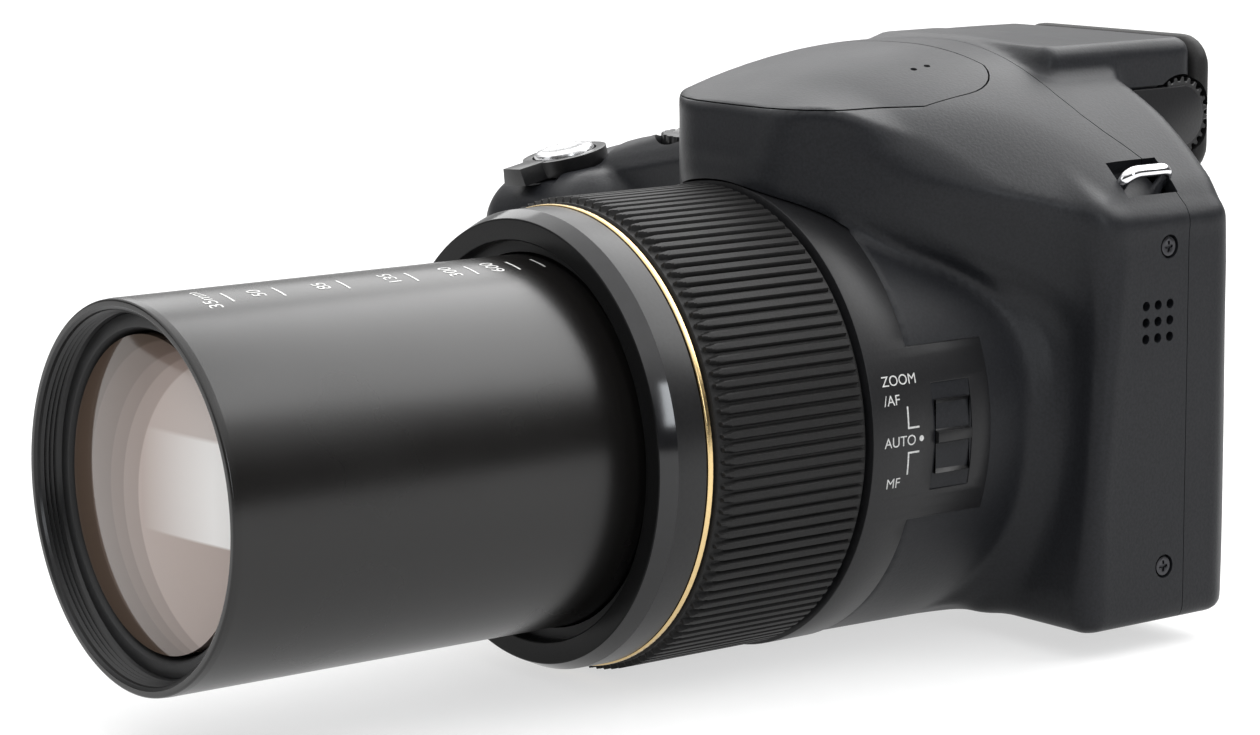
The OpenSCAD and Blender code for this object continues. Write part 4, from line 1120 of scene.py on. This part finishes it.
def bar(u0, v0, u1, v1, cuts=8):
    """A thin printed bar between two corners, cut along its length so that it can bend."""
    along = abs(v1 - v0) > abs(u1 - u0)
    points, faces = [], []
    for i in range(cuts + 1):
        t = i / cuts
        if along:
            points += [(u0, v0 + (v1 - v0) * t), (u1, v0 + (v1 - v0) * t)]
        else:
            points += [(u0 + (u1 - u0) * t, v0), (u0 + (u1 - u0) * t, v1)]
    for i in range(cuts):
        faces.append((2 * i, 2 * i + 1, 2 * i + 3, 2 * i + 2))
    return points, faces


def spot(r):
    """A printed round dot."""
    points = arc((0, 0), r, range(0, 360, 18))
    return points, [tuple(range(len(points)))]


def printed(name, shapes, mat, body):
    """One piece from flat shapes, each with the function that puts its points in place."""
    verts, faces = [], []
    for (points, polys), where in shapes:
        base = len(verts)
        verts += [where(u, v) for u, v in points]
        faces += [tuple(base + i for i in poly) for poly in polys]
    piece(name, verts, faces, mat, body, angle=None)


def tube_side(y, turn, r=TUBE_R + INK):
    return lambda u, v: on_lens(r, y - v, turn - math.degrees(u / r))


def collar_side(y, turn, r=COLLAR_R + INK):
    return lambda u, v: on_lens(r, y + u, turn - math.degrees(v / r))


def back_side(at, proud=0.0):
    """Places on the back, and on what stands proud of it."""
    return lambda u, v: (at[0] - u, BACK_Y + proud + INK, at[1] + v)


def deck_side(at, proud):
    return lambda u, v: (at[0] + u, at[1] + v, DECK + proud + INK)


def dial_top(turn, r, proud=4.25):
    """Places on the dial's top, with the text's foot towards the middle."""
    (x, y), z = DIAL_AT, DECK + proud + INK
    s, c = math.sin(math.radians(turn)), math.cos(math.radians(turn))
    return lambda u, v: (x + (r + v) * s + u * c, y - (r + v) * c + u * s, z)


def focal_marks():
    """Lines and focal lengths along the top of the tube."""
    scale = ((-130.4, "35mm"), (-122.5, "50"), (-112.4, "85"), (-101.4, "135"), (-91.5, "300"),
             (-84.5, "600"), (-80.3, ""))
    marks = []
    for y, text in scale:
        marks.append((bar(-1.8, -0.16, 1.8, 0.16), tube_side(y, 10.2)))
        if text:
            marks.append((glyphs(text, 2.9), tube_side(y - 3.2, 9.5)))
    printed("focal_marks", marks, PRINT, "zoom_unit")


def switch_labels():
    """Three words beside the switch, a dot at the middle one and a hook to each of the others."""
    words = (("ZOOM", -41.9, 75.4), ("/AF", -41.9, 80.0), ("AUTO", -42.2, 89.9), ("MF", -41.5, 99.9))
    labels = [(glyphs(text, 2.1, "LEFT"), collar_side(y, turn)) for text, y, turn in words]
    labels.append((spot(0.42), collar_side(-35.3, 89.7)))
    upper, lower = collar_side(-37.7, 84.4), collar_side(-37.7, 95.2)
    labels += [(bar(-0.14, -1.6, 0.14, 1.6), upper), (bar(-0.14, -1.6, 2.0, -1.32), upper),
               (bar(-0.14, -1.7, 0.14, 1.6), lower), (bar(-0.14, 1.32, 2.0, 1.6), lower)]
    printed("switch_labels", labels, PRINT, "body")


def button_marks():
    """Prints on the dial and the buttons."""
    raised, ok_raised, deck_raised = 0.73, 1.03, 0.73
    modes = enumerate(("P", "A", "S", "M", "C", "SCN", "AUTO", "1"))
    printed("dial_marks", [(glyphs(text, 3.0), dial_top(i * 45, 7.0)) for i, text in modes], PRINT, "dial")
    printed("menu_label", [(glyphs("MENU", 1.9), back_side((MENU_AT[0], MENU_AT[1] - 5.5)))], PRINT, "body")
    spots = [(PAD_AT[0] + x, PAD_AT[1] + z) for x, z in ((7, 0), (-7, 0), (0, 7), (0, -7))]
    printed("pad_marks", [(spot(0.4), back_side(at, raised)) for at in spots], PRINT, "pad")
    printed("ok_label", [(glyphs("OK", 2.4), back_side(PAD_AT, ok_raised))], PRINT, "ok")
    printed("record_dot", [(spot(1.3), back_side(RECORD_AT, raised))], RED, "record")
    triangle = [(-1.1, -1.3), (1.4, 0), (-1.1, 1.3)], [(0, 1, 2)]
    printed("play_mark", [(triangle, back_side(PLAY_AT, raised))], PRINT, "play")
    on_power = deck_side(POWER_AT, deck_raised)
    strokes = [bar(-0.14, 0, 0.14, 1.3), bar(-1.0, -0.9, 1.0, -0.62)]
    printed("power_mark", [(stroke, on_power) for stroke in strokes], PRINT, "power")


focal_marks()
switch_labels()
button_marks()


# CAD nodes shown as they are

DRESSED = {
    INNER: ("guide_barrel", "barrel_seal", "lens_cell", "focus_carriage", "ring_carrier", "finder_display",
            "speaker"),
    ALUMINIUM: ("cam_barrel", "sensor_mount", "chassis_frame"), BRASS: ("follower_pins",),
    COATED: ("second_lens", "focus_lens"), CLEAR: ("flash_window", "flash_tube"), SCREEN: ("image_sensor",),
    BRIGHT: ("guide_rods", "screen_pin", "port_block"), BOARD: ("sensor_board", "main_board"),
    WRAP: ("flash_capacitor", "battery"), SATIN: ("memory_card",),
}
for mat, nodes in DRESSED.items():
    for node in nodes:
        materials = frame["nodes"][node].data.materials
        materials.clear()
        materials.append(mat)


# Floor, light and camera, in metres

def floor_material():
    """Pale floor whose white lift is seen by the camera and in reflections, and lights nothing."""
    mat, tree, bsdf = new_material("floor_pale")
    noise = grain(tree, bsdf, 400.0, 0.02, 0.0001)
    tinted(tree, bsdf, noise, (0.36, 0.36, 0.36), (0.38, 0.38, 0.38))
    bsdf.inputs["Roughness"].default_value = 0.7
    bsdf.inputs["Specular IOR Level"].default_value = 0.1
    bsdf.inputs["Emission Color"].default_value = (1, 1, 1, 1)
    path = tree.nodes.new("ShaderNodeLightPath")
    seen = path.outputs["Is Camera Ray"]
    for kind in ("Is Glossy Ray", "Is Transmission Ray"):
        seen = maths(tree, "MAXIMUM", seen, path.outputs[kind])
    tree.links.new(maths(tree, "MULTIPLY", seen, 0.62), bsdf.inputs["Emission Strength"])
    return mat


def studio_floor(half=6.0):
    level = min(cad_box[0][2], 0.0)
    mesh = bpy.data.meshes.new("floor")
    corners = [(-half, -half, level), (half, -half, level), (half, half, level), (-half, half, level)]
    mesh.from_pydata(corners, [], [(0, 1, 2, 3)])
    mesh.materials.append(floor_material())
    floor = linked("floor", mesh)


def studio_world():
    """A white tent, bright overhead and behind the subject, and dim all round at eye height."""
    world = bpy.data.worlds.new("studio")
    scene.world = world
    world.use_nodes = True
    tree = world.node_tree
    direction = tree.nodes.new("ShaderNodeTexCoord").outputs["Generated"]
    split = tree.nodes.new("ShaderNodeSeparateXYZ")
    tree.links.new(direction, split.inputs["Vector"])
    behind = tree.nodes.new("ShaderNodeVectorMath")
    behind.operation = "DOT_PRODUCT"
    behind.inputs[1].default_value = (-0.79, 0.61, 0.0)
    tree.links.new(direction, behind.inputs[0])
    top = map_range(tree, split.outputs["Z"], 0.25, 0.8, 0.05, 1.9, "SMOOTHSTEP")
    back = map_range(tree, behind.outputs["Value"], 0.2, 0.95, 0.0, 0.4, "SMOOTHSTEP")
    background = tree.nodes["Background"]
    tree.links.new(maths(tree, "ADD", top, back), background.inputs["Strength"])
    background.inputs["Color"].default_value = (1, 1, 1, 1)


def lamp(name, at, target, width, height, power, colour=(1, 1, 1)):
    """A soft box that faces its target."""
    data = bpy.data.lights.new(name, "AREA")
    data.shape = "RECTANGLE"
    data.size, data.size_y = width, height
    data.energy = power
    data.color = colour
    obj = linked(name, data)
    obj.location = at
    obj.rotation_euler = (Vector(target) - Vector(at)).to_track_quat("-Z", "Y").to_euler()


def photo_camera():
    """The camera fitted to the photograph; its focal length is in pixels of the 1260-pixel frame."""
    azimuth, elevation, roll = (math.radians(v) for v in (52.5787, 9.5798, -0.3666))
    at, focal_px, frame_px, sensor = (0.42401, -0.38513, 0.12915), 3776.54, 1260, 36.0
    flat = math.cos(elevation)
    back = Vector((math.sin(azimuth) * flat, -math.cos(azimuth) * flat, math.sin(elevation)))
    level = Vector((math.cos(azimuth), math.sin(azimuth), 0))
    rise = back.cross(level)
    right = math.cos(roll) * level + math.sin(roll) * rise
    up = -math.sin(roll) * level + math.cos(roll) * rise
    data = bpy.data.cameras.new("photo_view")
    data.sensor_fit = "HORIZONTAL"
    data.sensor_width = sensor
    data.lens = focal_px / frame_px * sensor
    data.clip_start = 0.01
    camera = linked("photo_view", data)
    camera.matrix_world = Matrix.Translation(at) @ Matrix((right, up, back)).transposed().to_4x4()
    scene.camera = camera


studio_floor()
studio_world()
lamp("back_box", (0.04, 0.62, 0.72), (0, -0.03, 0.04), 1.3, 0.7, 9.0)
lamp("left_back", (-0.80, 0.42, 0.52), (0, -0.03, 0.06), 0.5, 0.4, 1.1)
lamp("right_strip", (0.85, -0.22, 0.34), (0.02, -0.06, 0.04), 0.14, 0.3, 1.4, (0.92, 0.96, 1.0))
lamp("left_box", (-0.35, -0.85, 0.30), (0, -0.08, 0.04), 0.4, 0.4, 0.7, (0.98, 0.99, 1.0))
photo_camera()
scene.view_settings.view_transform = "Standard"
